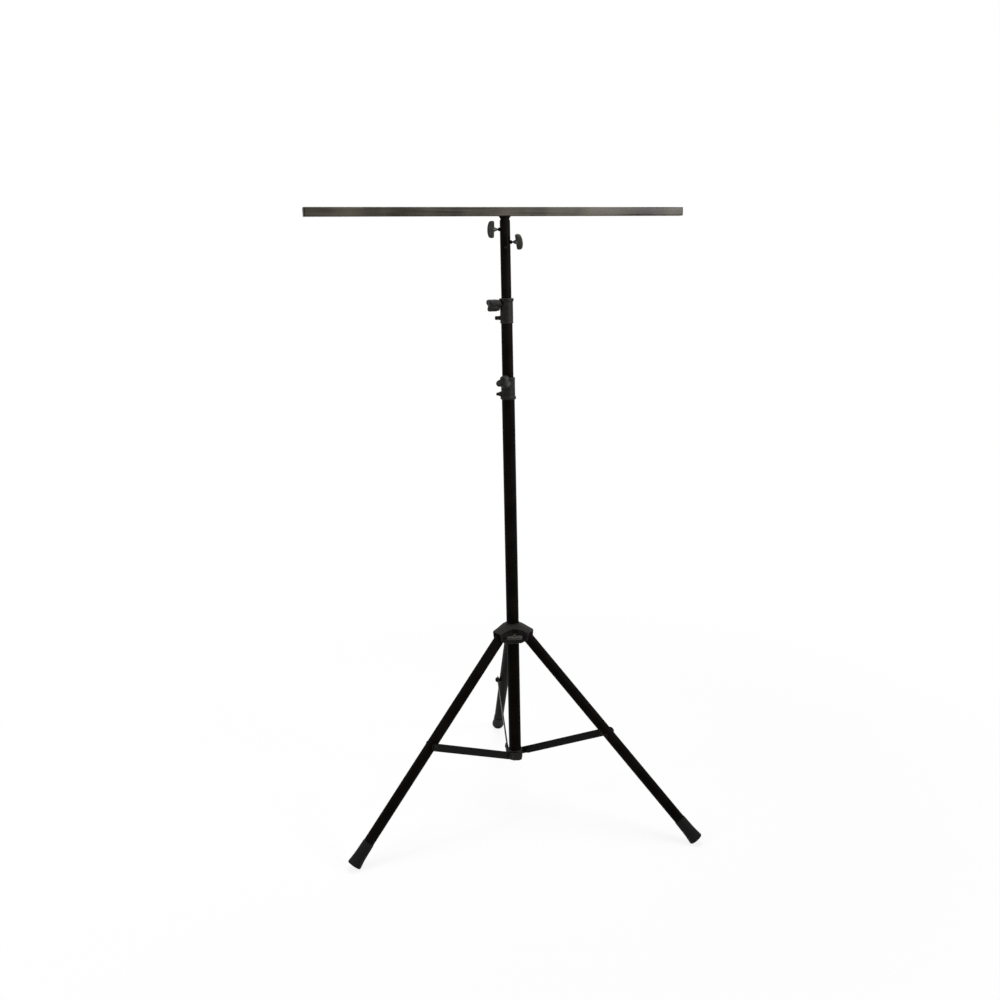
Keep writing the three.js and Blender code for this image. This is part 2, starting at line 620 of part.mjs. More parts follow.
// How far the lock pin's boss stands out, to hold its flange, its spring and its travel
function pinBossEnd(tubeRadius) {
  return pinFlangeFoot(tubeRadius) + PIN_FLANGE_THICKNESS + PIN_SPRING_LENGTH + CLEARANCE * 2 + PIN_BOSS_END_WALL;
}

function pinFlangeFoot(tubeRadius) {
  return tubeRadius + CLEARANCE + CLEARANCE;
}

// Clamp collar: a sleeve over the outer tube's end whose neck guides the inner tube
function clampCollar(name, clamp, outerTube, innerTube) {
  const wall = outerTube + clamp.wall;
  const rim = outerTube + clamp.rimWall;
  const lip = outerTube + clamp.lipWall;
  const neck = innerTube + CLEARANCE;
  const bore = outerTube + CLEARANCE;
  const shoulder = -CLAMP_NECK;
  const outline = [
    [bore, -clamp.height], [lip - CLAMP_EDGE, -clamp.height], [lip, CLAMP_EDGE - clamp.height],
    [lip, clamp.lipHeight - CLAMP_EDGE - clamp.height], [wall, clamp.lipHeight - clamp.height],
  ];
  for (const drop of clamp.grooveDrops) {
    outline.push([wall, -drop - CLAMP_GROOVE_WIDTH / 2], [wall - CLAMP_GROOVE_DEPTH, -drop]);
    outline.push([wall, CLAMP_GROOVE_WIDTH / 2 - drop]);
  }
  outline.push(
    [wall, -clamp.rimHeight - CLAMP_EDGE], [rim, -clamp.rimHeight], [rim, -CLAMP_EDGE], [rim - CLAMP_EDGE, 0],
    [neck, 0], [neck, shoulder], [bore, shoulder],
  );
  const bossTop = outerTube + clamp.rimWall + CLAMP_BOSS_HEIGHT;
  const bossTools = [clamp.knobAzimuth, -clamp.knobDrop];
  const knobBoss = radialBoss(CLAMP_BOSS_DIAMETER / 2, CLAMP_BOSS_DIAMETER / 2, innerTube, bossTop, ...bossTools);
  const pinEnd = pinBossEnd(outerTube);
  const pinBoss = radialBoss(
    clamp.pinBoss / 2, PIN_BOSS_TIP_DIAMETER / 2, outerTube, pinEnd, clamp.pinAzimuth, -clamp.pinDrop,
  );
  const innerSpace = solid(rod(neck, -clamp.height, OVERRUN, ROUND));
  const outerSpace = solid(rod(bore, -clamp.height - OVERRUN, shoulder, ROUND));
  const screwHole = radialHole(
    KNOB_SCREW_DIAMETER / 2 + CLEARANCE, innerTube / 2, bossTop + OVERRUN, clamp.knobAzimuth, -clamp.knobDrop,
  );
  const springRoom = radialHole(
    PIN_FLANGE_DIAMETER / 2 + CLEARANCE, outerTube / 2, pinEnd - PIN_BOSS_END_WALL, clamp.pinAzimuth, -clamp.pinDrop,
  );
  const pinHole = radialHole(
    PIN_DIAMETER / 2 + CLEARANCE, outerTube, pinEnd + OVERRUN, clamp.pinAzimuth, -clamp.pinDrop,
  );
  const body = join(solid(revolve(outline)), knobBoss, pinBoss);
  return piece(name, cut(body, innerSpace, outerSpace, screwHole, springRoom, pinHole), CAST_BLACK);
}

// A round boss that stands out from the mast, with its own foot and tip radii
function radialBoss(foot, tip, from, to, azimuth, height) {
  const shape = revolve([[0, from], [foot, from], [tip, to - CLAMP_EDGE], [tip - CLAMP_EDGE, to], [0, to]], SMALL_ROUND);
  return solid(alongX(shape).rotateZ(azimuth).translate(0, 0, height));
}

// A round knob whose rim is pulled in between its lobes, which lie at regular turns from the Y axis
function lobed(geometry) {
  const corners = geometry.getAttribute("position");
  const corner = new THREE.Vector3();
  for (let index = 0; index < corners.count; index += 1) {
    corner.fromBufferAttribute(corners, index);
    const outwards = Math.hypot(corner.y, corner.z) / (KNOB_DIAMETER / 2);
    const wave = (1 + Math.cos(KNOB_LOBES * Math.atan2(corner.z, corner.y))) / 2;
    const notch = (KNOB_LOBE_DEPTH / (KNOB_DIAMETER / 2)) * (1 - wave ** KNOB_LOBE_FULLNESS);
    const left = 1 - notch * outwards ** (KNOB_LOBE_RISE - 1);
    corners.setXYZ(index, corner.x, corner.y * left, corner.z * left);
  }
  return geometry;
}

function clampKnob(name) {
  const rim = KNOB_DIAMETER / 2;
  const foot = KNOB_FOOT_DIAMETER / 2;
  const dish = KNOB_DISH_DIAMETER / 2;
  const shoulderCentre = [rim - KNOB_SHOULDER_ROUND, KNOB_FOOT_LENGTH + KNOB_SHOULDER_ROUND];
  const noseCentre = [rim - KNOB_NOSE_ROUND, KNOB_LENGTH - KNOB_NOSE_ROUND];
  const outline = [
    [0, 0], [foot - CLAMP_EDGE, 0], [foot, CLAMP_EDGE],
    ...arc(shoulderCentre, KNOB_SHOULDER_ROUND, -Math.PI / 2, 0, 2),
    ...arc(noseCentre, KNOB_NOSE_ROUND, 0, Math.PI / 2, 3),
    [dish + CLAMP_EDGE, KNOB_LENGTH], [dish, KNOB_LENGTH - KNOB_DISH_DEPTH], [0, KNOB_LENGTH - KNOB_DISH_DEPTH],
  ];
  const hole = rod(KNOB_SCREW_DIAMETER / 2 + CLEARANCE, -OVERRUN, KNOB_SCREW_GRIP);
  const body = lobed(alongX(revolve(outline, KNOB_ROUND)));
  return piece(name, cut(solid(body), solid(alongX(hole))), KNOB_PLASTIC);
}

function clampScrew(name, tip, knobFoot) {
  const radius = KNOB_SCREW_DIAMETER / 2;
  const end = knobFoot + KNOB_SCREW_GRIP - CLEARANCE;
  return piece(name, pointedStud(radius, tip, end), STEEL);
}

function clampHandle(place, clamp, outerTube, innerTube, top) {
  const knobFoot = outerTube + clamp.rimWall + CLAMP_BOSS_HEIGHT + CLEARANCE;
  const group = facing(clamp.knobAzimuth, top - clamp.knobDrop);
  const knob = clampKnob(`${place}_clamp_knob`);
  knob.position.x = knobFoot;
  knob.rotation.x = clamp.knobTurn;
  group.add(knob, clampScrew(`${place}_clamp_screw`, innerTube + CLEARANCE, knobFoot));
  return group;
}

// Lock pin: its nose rests on the inner tube between two holes, and its cap is pulled by hand
function lockPin(place, clamp, outerTube, innerTube, top) {
  const shaft = PIN_DIAMETER / 2;
  const flangeFoot = pinFlangeFoot(outerTube);
  const flangeTop = flangeFoot + PIN_FLANGE_THICKNESS;
  const bossEnd = pinBossEnd(outerTube) + CLEARANCE;
  const cap = clamp.pinCap / 2;
  const capEnd = bossEnd + clamp.pinCapLength;
  const capCorner = [cap - clamp.pinCapRound, capEnd - clamp.pinCapRound];
  const outline = [
    [0, innerTube + CLEARANCE], [shaft, innerTube + CLEARANCE], [shaft, flangeFoot],
    [PIN_FLANGE_DIAMETER / 2, flangeFoot], [PIN_FLANGE_DIAMETER / 2, flangeTop], [shaft, flangeTop],
    [shaft, bossEnd], [cap, bossEnd], ...arc(capCorner, clamp.pinCapRound, 0, Math.PI / 2, 3), [0, capEnd],
  ];
  const group = facing(clamp.pinAzimuth, top - clamp.pinDrop);
  group.add(piece(`${place}_lock_pin`, solid(alongX(revolve(outline, SMALL_ROUND))), BLACK_STEEL));
  group.add(lockSpring(place, flangeTop + CLEARANCE));
  return group;
}

// A helix with a fixed number of turns along the pin
class SpringCurve extends THREE.Curve {
  constructor(start, length, radius, turns) {
    super();
    Object.assign(this, { start, length, radius, turns });
  }

  getPoint(share, target = new THREE.Vector3()) {
    const angle = share * this.turns * Math.PI * 2;
    const along = this.start + this.length * share;
    return target.set(along, this.radius * Math.cos(angle), this.radius * Math.sin(angle));
  }
}

function lockSpring(place, foot) {
  const wire = PIN_SPRING_WIRE / 2;
  const coil = (PIN_DIAMETER + PIN_FLANGE_DIAMETER) / 4 + wire / 2;
  const curve = new SpringCurve(foot + wire, PIN_SPRING_LENGTH - PIN_SPRING_WIRE - CLEARANCE, coil, PIN_SPRING_TURNS);
  const section = outlineShape(arc([0, 0], wire, 0, Math.PI * 1.5, 3));
  const spring = new THREE.ExtrudeGeometry(section, { steps: PIN_SPRING_TURNS * 8, extrudePath: curve });
  return piece(`${place}_lock_spring`, solid(spring), STEEL);
}

// Hub: roof, three pairs of cheeks and a barrel, cast as one
function hubRoofOutline() {
  const half = LEG_RADIUS + LEG_CLEARANCE + HUB_CHEEK_THICKNESS;
  const centreDistance = (half + HUB_ROOF_ARC_RADIUS) / Math.sin(Math.PI / LEG_COUNT);
  const armEnd = HUB_ROOF_EDGE_RADIUS + OVERRUN * 2;
  const points = [];
  for (let arm = 0; arm < LEG_COUNT; arm += 1) {
    const along = (arm * Math.PI * 2) / LEG_COUNT;
    const bisector = along + Math.PI / LEG_COUNT;
    const place = (x, y) => [
      x * Math.cos(along) - y * Math.sin(along), x * Math.sin(along) + y * Math.cos(along),
    ];
    points.push(place(armEnd, -half), place(armEnd, half));
    const centre = [centreDistance * Math.cos(bisector), centreDistance * Math.sin(bisector)];
    const spread = Math.PI / 2 - Math.PI / LEG_COUNT;
    const facingIn = bisector + Math.PI;
    points.push(...arc(centre, HUB_ROOF_ARC_RADIUS, facingIn + spread, facingIn - spread, 5));
  }
  return outlineShape(points);
}

// Height of the roof's upper face above the pivots at a radius
function roofRise(radius) {
  const slope = (HUB_ROOF_EDGE_RISE - HUB_ROOF_RISE) / (HUB_ROOF_EDGE_RADIUS - HUB_ROOF_INNER_RADIUS);
  return HUB_ROOF_RISE + slope * (radius - HUB_ROOF_INNER_RADIUS);
}

function hubRoof() {
  const outer = HUB_ROOF_EDGE_RADIUS;
  const corner = HUB_ROOF_THICKNESS / 3;
  const neck = HUB_NECK_DIAMETER / 2;
  const bore = hubBore();
  const profile = revolve([
    [bore, roofRise(neck) - HUB_ROOF_THICKNESS], [outer, roofRise(outer) - HUB_ROOF_THICKNESS],
    [outer + corner, roofRise(outer) - HUB_ROOF_THICKNESS + corner], [outer + corner, roofRise(outer) - corner],
    [outer, roofRise(outer)], [HUB_ROOF_INNER_RADIUS, HUB_ROOF_RISE], [neck, HUB_NECK_RISE], [bore, HUB_NECK_RISE],
  ]);
  const prism = new THREE.ExtrudeGeometry(hubRoofOutline(), {
    depth: HUB_NECK_RISE + OVERRUN * 2, bevelEnabled: false,
  });
  return solid(profile).intersect(solid(prism.translate(0, 0, -OVERRUN)));
}

function hubBore() {
  return MAIN_TUBE_RADIUS + CLEARANCE + HUB_LINER_WALL + CLEARANCE;
}

// Side view of a cheek, as [distance from the mast, height above the pivot]
function cheekShape(inner) {
  const sunk = HUB_ROOF_THICKNESS / 2;
  const outer = HUB_ROOF_EDGE_RADIUS;
  const nose = arc([HUB_PIVOT_RADIUS, 0], HUB_CHEEK_NOSE_RADIUS, 0, -Math.PI / 2, 5);
  return outlineShape([
    [inner, -HUB_CHEEK_DROP], [inner, roofRise(inner) - sunk], [outer, roofRise(outer) - sunk],
    [outer, roofRise(outer) - sunk - HUB_CHEEK_LIP], ...nose,
    [HUB_PIVOT_RADIUS - HUB_CHEEK_NOSE_RADIUS, -HUB_CHEEK_DROP],
  ]);
}

function hubArm(turn) {
  const half = LEG_RADIUS + LEG_CLEARANCE + HUB_CHEEK_THICKNESS;
  return solid(plateFacingY(cheekShape(hubBore()), -half, half).rotateZ(turn));
}

// The slot that a leg swings in, open below and outwards
function legSlot(turn) {
  const half = LEG_RADIUS + LEG_CLEARANCE;
  const inner = HUB_BARREL_DIAMETER / 2;
  const outer = HUB_ROOF_EDGE_RADIUS + HUB_PIVOT_RADIUS;
  const slot = outlineShape([
    [inner, -HUB_CHEEK_DROP * 2], [inner, roofRise(inner) - HUB_ROOF_THICKNESS],
    [outer, roofRise(outer) - HUB_ROOF_THICKNESS], [outer, -HUB_CHEEK_DROP * 2],
  ]);
  return solid(plateFacingY(slot, -half, half).rotateZ(turn));
}

function pivotDrilling(turn) {
  const reach = LEG_RADIUS + HUB_CHEEK_THICKNESS + OVERRUN * 2;
  const drill = alongY(rod(PIVOT_BOLT_DIAMETER / 2 + CLEARANCE * 2, -reach, reach, HOLE_ROUND));
  return solid(drill.translate(HUB_PIVOT_RADIUS, 0, 0).rotateZ(turn));
}

// Directions of the legs, counted from the first one
function legTurns() {
  return Array.from({ length: LEG_COUNT }, (_, index) => (index * Math.PI * 2) / LEG_COUNT);
}

function hubCasting() {
  const turns = legTurns();
  const screwTurn = HUB_SCREW_AZIMUTH - FIRST_LEG_AZIMUTH;
  const barrelRadius = HUB_BARREL_DIAMETER / 2;
  const barrel = solid(tube(barrelRadius, hubBore(), -HUB_BARREL_DROP, roofRise(barrelRadius)));
  const bossEnd = HUB_BARREL_DIAMETER / 2 + HUB_SCREW_BOSS_HEIGHT;
  const boss = radialBoss(
    HUB_SCREW_BOSS_DIAMETER / 2, HUB_SCREW_BOSS_DIAMETER / 2, MAIN_TUBE_RADIUS, bossEnd, screwTurn, HUB_SCREW_RISE,
  );
  const screwHole = radialHole(
    T_SCREW_DIAMETER / 2 + CLEARANCE, MAIN_TUBE_RADIUS / 2, bossEnd + OVERRUN, screwTurn, HUB_SCREW_RISE,
  );
  const bore = solid(rod(hubBore(), -HUB_BARREL_DROP - OVERRUN, HUB_NECK_RISE + OVERRUN, ROUND));
  const body = join(barrel, hubRoof(), ...turns.map(hubArm), boss);
  const hollow = cut(body, ...turns.map(legSlot), ...turns.map(pivotDrilling));
  const casting = piece("hub_casting", cut(hollow, bore, screwHole), CAST_BLACK);
  casting.rotation.z = FIRST_LEG_AZIMUTH;
  return casting;
}

// Plastic liner that the hub slides on, with a flange on top of the hub's neck
function hubLiner() {
  const inner = MAIN_TUBE_RADIUS + CLEARANCE;
  const outer = inner + HUB_LINER_WALL;
  const flange = HUB_NECK_DIAMETER / 2;
  const top = HUB_NECK_RISE + CLEARANCE;
  const outline = [
    [inner, -HUB_BARREL_DROP], [outer, -HUB_BARREL_DROP], [outer, top], [flange - CLEARANCE, top],
    [flange - HUB_LINER_FLANGE / 2, top + HUB_LINER_FLANGE], [inner, top + HUB_LINER_FLANGE],
  ];
  const hole = radialHole(
    T_SCREW_DIAMETER / 2 + CLEARANCE, inner / 2, outer + OVERRUN, HUB_SCREW_AZIMUTH, HUB_SCREW_RISE,
  );
  return piece("hub_liner", cut(solid(revolve(outline)), hole), PLASTIC);
}

function hubHandScrew() {
  const stemFoot = HUB_BARREL_DIAMETER / 2 + HUB_SCREW_BOSS_HEIGHT + HUB_SCREW_SHOWN;
  const group = facing(HUB_SCREW_AZIMUTH, HUB_SCREW_RISE);
  const turned = new THREE.Group();
  turned.rotation.x = Math.PI / 2;
  const head = tHead("hub_knob_head");
  head.position.x = stemFoot;
  turned.add(head, tScrew("hub_knob_screw", MAIN_TUBE_RADIUS + CLEARANCE, stemFoot));
  group.add(turned);
  return group;
}

// Leg tube, along Z with the pivot at zero and the foot below
function legTube(name) {
  const bottom = FOOT_SOLE_THICKNESS + CLEARANCE - LEG_REACH;
  const inner = LEG_RADIUS - LEG_WALL;
  const body = solid(tube(LEG_RADIUS, inner, bottom, LEG_TOP_END));
  const reach = LEG_RADIUS + OVERRUN;
  const pivotHole = solid(alongY(rod(PIVOT_BOLT_DIAMETER / 2 + CLEARANCE * 2, -reach, reach, HOLE_ROUND)));
  const jointHole = alongY(rod(STRUT_BOLT_DIAMETER / 2 + CLEARANCE * 2, -reach, reach, HOLE_ROUND));
  return piece(name, cut(body, pivotHole, solid(jointHole.translate(0, 0, -STRUT_JOINT_REACH))), PAINTED_BLACK);
}

// Rubber foot: a boot over the tube's end that flares to a broad sole
function legFoot(name) {
  const top = FOOT_LENGTH - LEG_REACH;
  const flareTop = FOOT_FLARE_LENGTH - LEG_REACH;
  const end = -LEG_REACH;
  const bore = LEG_RADIUS + CLEARANCE;
  const sole = end + FOOT_SOLE_THICKNESS;
  const radius = FOOT_END_DIAMETER / 2;
  const waist = FOOT_WAIST_DIAMETER / 2;
  const corner = arc([radius - FOOT_EDGE_RADIUS, end + FOOT_EDGE_RADIUS], FOOT_EDGE_RADIUS, -Math.PI / 2, 0, 2);
  const flare = [];
  for (let step = FOOT_FLARE_STEPS - 1; step > 0; step -= 1) {
    const share = step / FOOT_FLARE_STEPS;
    flare.push([
      waist + (radius - waist) * share ** FOOT_FLARE_CURVE,
      flareTop - (FOOT_FLARE_LENGTH - FOOT_EDGE_RADIUS) * share,
    ]);
  }
  const outline = [
    [0, end + FOOT_SOLE_DOME], [radius / 2, end + FOOT_SOLE_DOME / 2], ...corner, ...flare, [waist, flareTop],
    [FOOT_LIP_DIAMETER / 2, top - CLEARANCE], [bore + CLEARANCE, top], [bore, top], [bore, sole], [0, sole],
  ];
  const floor = new THREE.BoxGeometry(LEG_REACH * 2, LEG_REACH, LEG_REACH);
  floor.translate(0, 0, -HUB_HEIGHT - LEG_REACH / 2).rotateY(LEG_SPREAD);
  return piece(name, cut(solid(revolve(outline)), solid(floor)), RUBBER);
}

// A low domed head and a shank along Y, whose head rests on a face at +Y
function domedBolt(name, radius, headRadius, headHeight, face, end) {
  const dome = arc([0, 0], 1, 0, Math.PI / 2, 3).map(([across, up], step, all) => [
    step === all.length - 1 ? 0 : across * headRadius,
    face + headHeight * (BOLT_RIM_SHARE + up * (1 - BOLT_RIM_SHARE)),
  ]);
  const outline = [[0, end], [radius, end], [radius, face], [headRadius, face], ...dome];
  return piece(name, solid(alongY(revolve(outline, SMALL_ROUND))), BLACK_STEEL);
}

function hexNut(name, radius, across, height, face) {
  const body = solid(alongY(hexagon(across, -face - height, -face)));
  const thread = solid(alongY(rod(radius + CLEARANCE, -face - height - OVERRUN, OVERRUN - face)));
  return piece(name, cut(body, thread), BLACK_STEEL);
}

// The bolt that a leg swings on, through both cheeks of the hub
function pivotFasteners(index) {
  const reach = LEG_RADIUS + LEG_CLEARANCE + HUB_CHEEK_THICKNESS;
  const group = new THREE.Group();
  group.position.x = HUB_PIVOT_RADIUS;
  const radius = PIVOT_BOLT_DIAMETER / 2;
  const face = reach + CLEARANCE;
  group.add(domedBolt(
    `leg_${index}_pivot_bolt`, radius, PIVOT_HEAD_DIAMETER / 2, PIVOT_HEAD_HEIGHT, face, -face - PIVOT_NUT_HEIGHT,
  ));
  group.add(hexNut(`leg_${index}_pivot_nut`, radius, PIVOT_NUT_ACROSS, PIVOT_NUT_HEIGHT, face));
  return group;
}

// Round-headed bolt through the strut, its spacer and the leg
function strutBolt(name) {
  const face = STRUT_OUTER_FACE + CLEARANCE;
  const end = -LEG_RADIUS - CLEARANCE - STRUT_NUT_HEIGHT;
  const head = STRUT_BOLT_HEAD_DIAMETER / 2;
  return domedBolt(name, STRUT_BOLT_DIAMETER / 2, head, STRUT_BOLT_HEAD_HEIGHT, face, end);
}

function strutSpacer(name) {
  const inner = STRUT_BOLT_DIAMETER / 2 + CLEARANCE;
  const from = LEG_RADIUS + CLEARANCE;
  const ring = tube(STRUT_SPACER_DIAMETER / 2, inner, from, from + STRUT_SPACER_THICKNESS, SMALL_ROUND);
  return piece(name, solid(alongY(ring)), PLASTIC);
}

// Flat strut with round ends, along X from the cup's pin to the leg's bolt
function strut(name) {
  const half = STRUT_WIDTH / 2;
  const shape = new THREE.Shape();
  shape.absarc(STRUT_LENGTH, 0, half, -Math.PI / 2, Math.PI / 2, false);
  shape.absarc(0, 0, half, Math.PI / 2, Math.PI * 1.5, false);
  for (const [x, diameter] of [[0, STRUT_RIVET_DIAMETER], [STRUT_LENGTH, STRUT_BOLT_DIAMETER]]) {
    const hole = new THREE.Path();
    hole.absarc(x, 0, diameter / 2 + CLEARANCE, 0, Math.PI * 2, true);
    shape.holes.push(hole);
  }
  return piece(name, solid(plateFacingY(shape, STRUT_INNER_FACE, STRUT_OUTER_FACE, 6)), BLACK_STEEL);
}

// Rivet in the strut's lower end, which bears on the inner side of the cup's ear
function strutRivet(name) {
  const shank = STRUT_RIVET_DIAMETER / 2;
  const head = STRUT_RIVET_HEAD_DIAMETER / 2;
  const face = STRUT_INNER_FACE - CLEARANCE;
  const start = face - STRUT_RIVET_HEAD_HEIGHT;
  const outline = [
    [0, start], [head / 2, start], [head, face - CLEARANCE], [head, face],
    [shank, face], [shank, STRUT_OUTER_FACE], [0, STRUT_OUTER_FACE],
  ];
  return piece(name, solid(alongY(revolve(outline, SMALL_ROUND))), BLACK_STEEL);
}

function leg(turn, index) {
  const side = facing(FIRST_LEG_AZIMUTH + turn, 0);
  const swinging = new THREE.Group();
  swinging.position.set(HUB_PIVOT_RADIUS, 0, HUB_HEIGHT);
  swinging.rotation.y = -LEG_SPREAD;
  const number = index + 1;
  const joint = new THREE.Group();
  joint.position.z = -STRUT_JOINT_REACH;
  const nut = hexNut(
    `leg_${number}_strut_nut`, STRUT_BOLT_DIAMETER / 2, STRUT_NUT_ACROSS, STRUT_NUT_HEIGHT, LEG_RADIUS + CLEARANCE,
  );
  joint.add(strutBolt(`leg_${number}_strut_bolt`), strutSpacer(`leg_${number}_strut_spacer`), nut);
  swinging.add(legTube(`leg_${number}_tube`), legFoot(`leg_${number}_foot`), joint);
  const link = new THREE.Group();
  link.position.set(CUP_PIN_RADIUS, 0, CUP_PIN_HEIGHT);
  link.rotation.y = -STRUT_SLOPE;
  link.add(strut(`leg_${number}_strut`), strutRivet(`leg_${number}_strut_rivet`));
  side.add(swinging, link);
  return side;
}

// Ear beside a strut: a plate in the strut's line with a round nose at the pin, and a thick root
function cupEar(turn) {
  const low = EAR_ROOT_RISE;
  const high = EAR_ROOT_RISE + EAR_ROOT_HEIGHT;
  const back = -EAR_ROOT_LENGTH / 2;
  const across = Math.PI / 2;
  const pin = [CUP_PIN_RADIUS, CUP_PIN_RISE];
  const nose = arc(pin, EAR_NOSE_RADIUS, STRUT_SLOPE - across, STRUT_SLOPE + across, 6);
  const fall = Math.tan(STRUT_SLOPE);
  const [under, over] = [nose[0], nose[nose.length - 1]];
  const underFoot = [under[0] - (under[1] - low) / fall, low];
  const side = outlineShape([[back, low], underFoot, ...nose, [back, over[1] - (over[0] - back) * fall]]);
  const plate = plateFacingY(side, EAR_INNER_FACE, EAR_OUTER_FACE);
  const foot = outlineShape([
    [back - EAR_THICKNESS, 0], [EAR_ROOT_LENGTH / 2, 0], [EAR_ROOT_LENGTH / 2, EAR_OUTER_FACE],
    [back, EAR_OUTER_FACE], [back - EAR_THICKNESS, EAR_INNER_FACE - EAR_THICKNESS],
  ]);
  const root = new THREE.ExtrudeGeometry(foot, { depth: high - low, bevelEnabled: false }).translate(0, 0, low);
  const dome = EAR_DOME_DIAMETER / 2;
  const button = alongY(revolve([
    [0, EAR_INNER_FACE + CLEARANCE], [dome, EAR_INNER_FACE + CLEARANCE], [dome, EAR_OUTER_FACE + CLEARANCE],
    [dome / 2, EAR_OUTER_FACE + EAR_DOME_HEIGHT], [0, EAR_OUTER_FACE + EAR_DOME_HEIGHT],
  ], SMALL_ROUND)).translate(CUP_PIN_RADIUS, 0, CUP_PIN_RISE);
  return [plate, root, button].map((shape) => solid(shape.rotateZ(turn)));
}

function mastCup() {
  const radius = CUP_DIAMETER / 2;
  const bottomRound = arc([radius - CUP_BOTTOM_ROUND, CUP_BOTTOM_ROUND], CUP_BOTTOM_ROUND, -Math.PI / 2, 0, 3);
  const outline = [[0, 0], ...bottomRound, [radius, CUP_HEIGHT - CUP_EDGE], [radius - CUP_EDGE, CUP_HEIGHT], [0, CUP_HEIGHT]];
  const ears = legTurns().flatMap(cupEar);
  const bore = solid(rod(MAIN_TUBE_RADIUS + CLEARANCE, CUP_FLOOR, CUP_HEIGHT + OVERRUN, ROUND));
  const screwHole = radialHole(
    CUP_SCREW_DIAMETER / 2 + CLEARANCE, MAIN_TUBE_RADIUS / 2, radius + OVERRUN,
    CUP_SCREW_AZIMUTH - FIRST_LEG_AZIMUTH, CUP_HEIGHT / 2,
  );
  const cup = piece("base_cup", cut(join(solid(revolve(outline)), ...ears), bore, screwHole), CAST_BLACK);
  cup.rotation.z = FIRST_LEG_AZIMUTH;
  return cup;
}

function cupScrewHeight() {
  return CUP_HEIGHT_ON_MAST + CUP_HEIGHT / 2;
}

function cupScrew() {
  const face = CUP_DIAMETER / 2 + CLEARANCE;
  const head = CUP_SCREW_HEAD_DIAMETER / 2;
  const shank = CUP_SCREW_DIAMETER / 2;
  const tip = MAIN_TUBE_RADIUS - CUP_SCREW_REACH;
  const shape = revolve([
    [0, tip], [shank / 2, tip], [shank, tip + shank], [shank, face], [head, face],
    [head / 2, face + CUP_SCREW_HEAD_HEIGHT], [0, face + CUP_SCREW_HEAD_HEIGHT],
  ], SMALL_ROUND);
  const group = facing(CUP_SCREW_AZIMUTH, cupScrewHeight());
  group.add(piece("base_cup_screw", solid(alongX(shape)), BLACK_STEEL));
  return group;
}

function raised(height, ...parts) {
  const group = new THREE.Group();
  group.position.z = height;
  group.add(...parts);
  return group;
}

const stand = new THREE.Group();

const head = raised(BAR_MIDDLE, crossBar(), barPlug("t_bar_plug_left", -1), barPlug("t_bar_plug_right", 1));
head.rotation.z = BAR_TURN;
stand.add(head, barSpigot());

stand.add(topTube(), stopRivet());
for (const place of Object.keys(T_SCREW_DROPS)) {
  stand.add(socketNut(place), tHandScrew(place));
}
const middleBore = MIDDLE_TUBE_RADIUS - MIDDLE_TUBE_WALL;
const topTubeBottom = TOP_TUBE_TOP - TOP_TUBE_LENGTH;
stand.add(guidePlug("top_tube_guide", TOP_TUBE_RADIUS, TOP_TUBE_WALL, middleBore, topTubeBottom));

const upper = [CLAMPS.upper, MIDDLE_TUBE_RADIUS, TOP_TUBE_RADIUS];
stand.add(middleTube(), raised(UPPER_CLAMP_TOP, clampCollar("upper_clamp_collar", ...upper)));
stand.add(clampHandle("upper", ...upper, UPPER_CLAMP_TOP), lockPin("upper", ...upper, UPPER_CLAMP_TOP));
const mainBore = MAIN_TUBE_RADIUS - MAIN_TUBE_WALL;
const middleTubeBottom = MIDDLE_TUBE_TOP - MIDDLE_TUBE_LENGTH;
stand.add(guidePlug("middle_tube_guide", MIDDLE_TUBE_RADIUS, MIDDLE_TUBE_WALL, mainBore, middleTubeBottom));

const lower = [CLAMPS.lower, MAIN_TUBE_RADIUS, MIDDLE_TUBE_RADIUS];
stand.add(mainTube(), raised(LOWER_CLAMP_TOP, clampCollar("lower_clamp_collar", ...lower)));
stand.add(clampHandle("lower", ...lower, LOWER_CLAMP_TOP), lockPin("lower", ...lower, LOWER_CLAMP_TOP));
stand.add(raised(CUP_HEIGHT_ON_MAST, mastCup()), cupScrew());

const hub = raised(HUB_HEIGHT, hubCasting(), hubLiner(), hubHandScrew());
for (const [index, turn] of legTurns().entries()) {
  const fasteners = facing(FIRST_LEG_AZIMUTH + turn, 0);
  fasteners.add(pivotFasteners(index + 1));
  hub.add(fasteners);
  stand.add(leg(turn, index));
}
stand.add(hub);

// The origin is on the floor under the middle of the stand's outline
stand.updateMatrixWorld(true);
const reach = new THREE.Box3().setFromObject(stand, true);
const middle = reach.getCenter(new THREE.Vector3());
stand.position.set(-middle.x, -middle.y, 0);

const lightingStand = new THREE.Group();
lightingStand.add(stand);

export default lightingStand;
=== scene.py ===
# %% [markdown]
# # A lighting stand with a T-bar
# The stand is black steel tube, cast aluminium joints, rubber feet and a grey square bar on top.
# The frame below already holds every piece at its real size and place, but with coarse facets.
# Here each piece is made again with fine curves, soft edges and its own finish.
# Every finished piece rides on the body that carries it, so the stand still folds and slides.

# %% Load the frame
import json
from math import atan2, copysign, cos, pi, radians, sin, sqrt, tan
import bmesh
import bpy
import numpy as np
from mathutils import Matrix, Vector


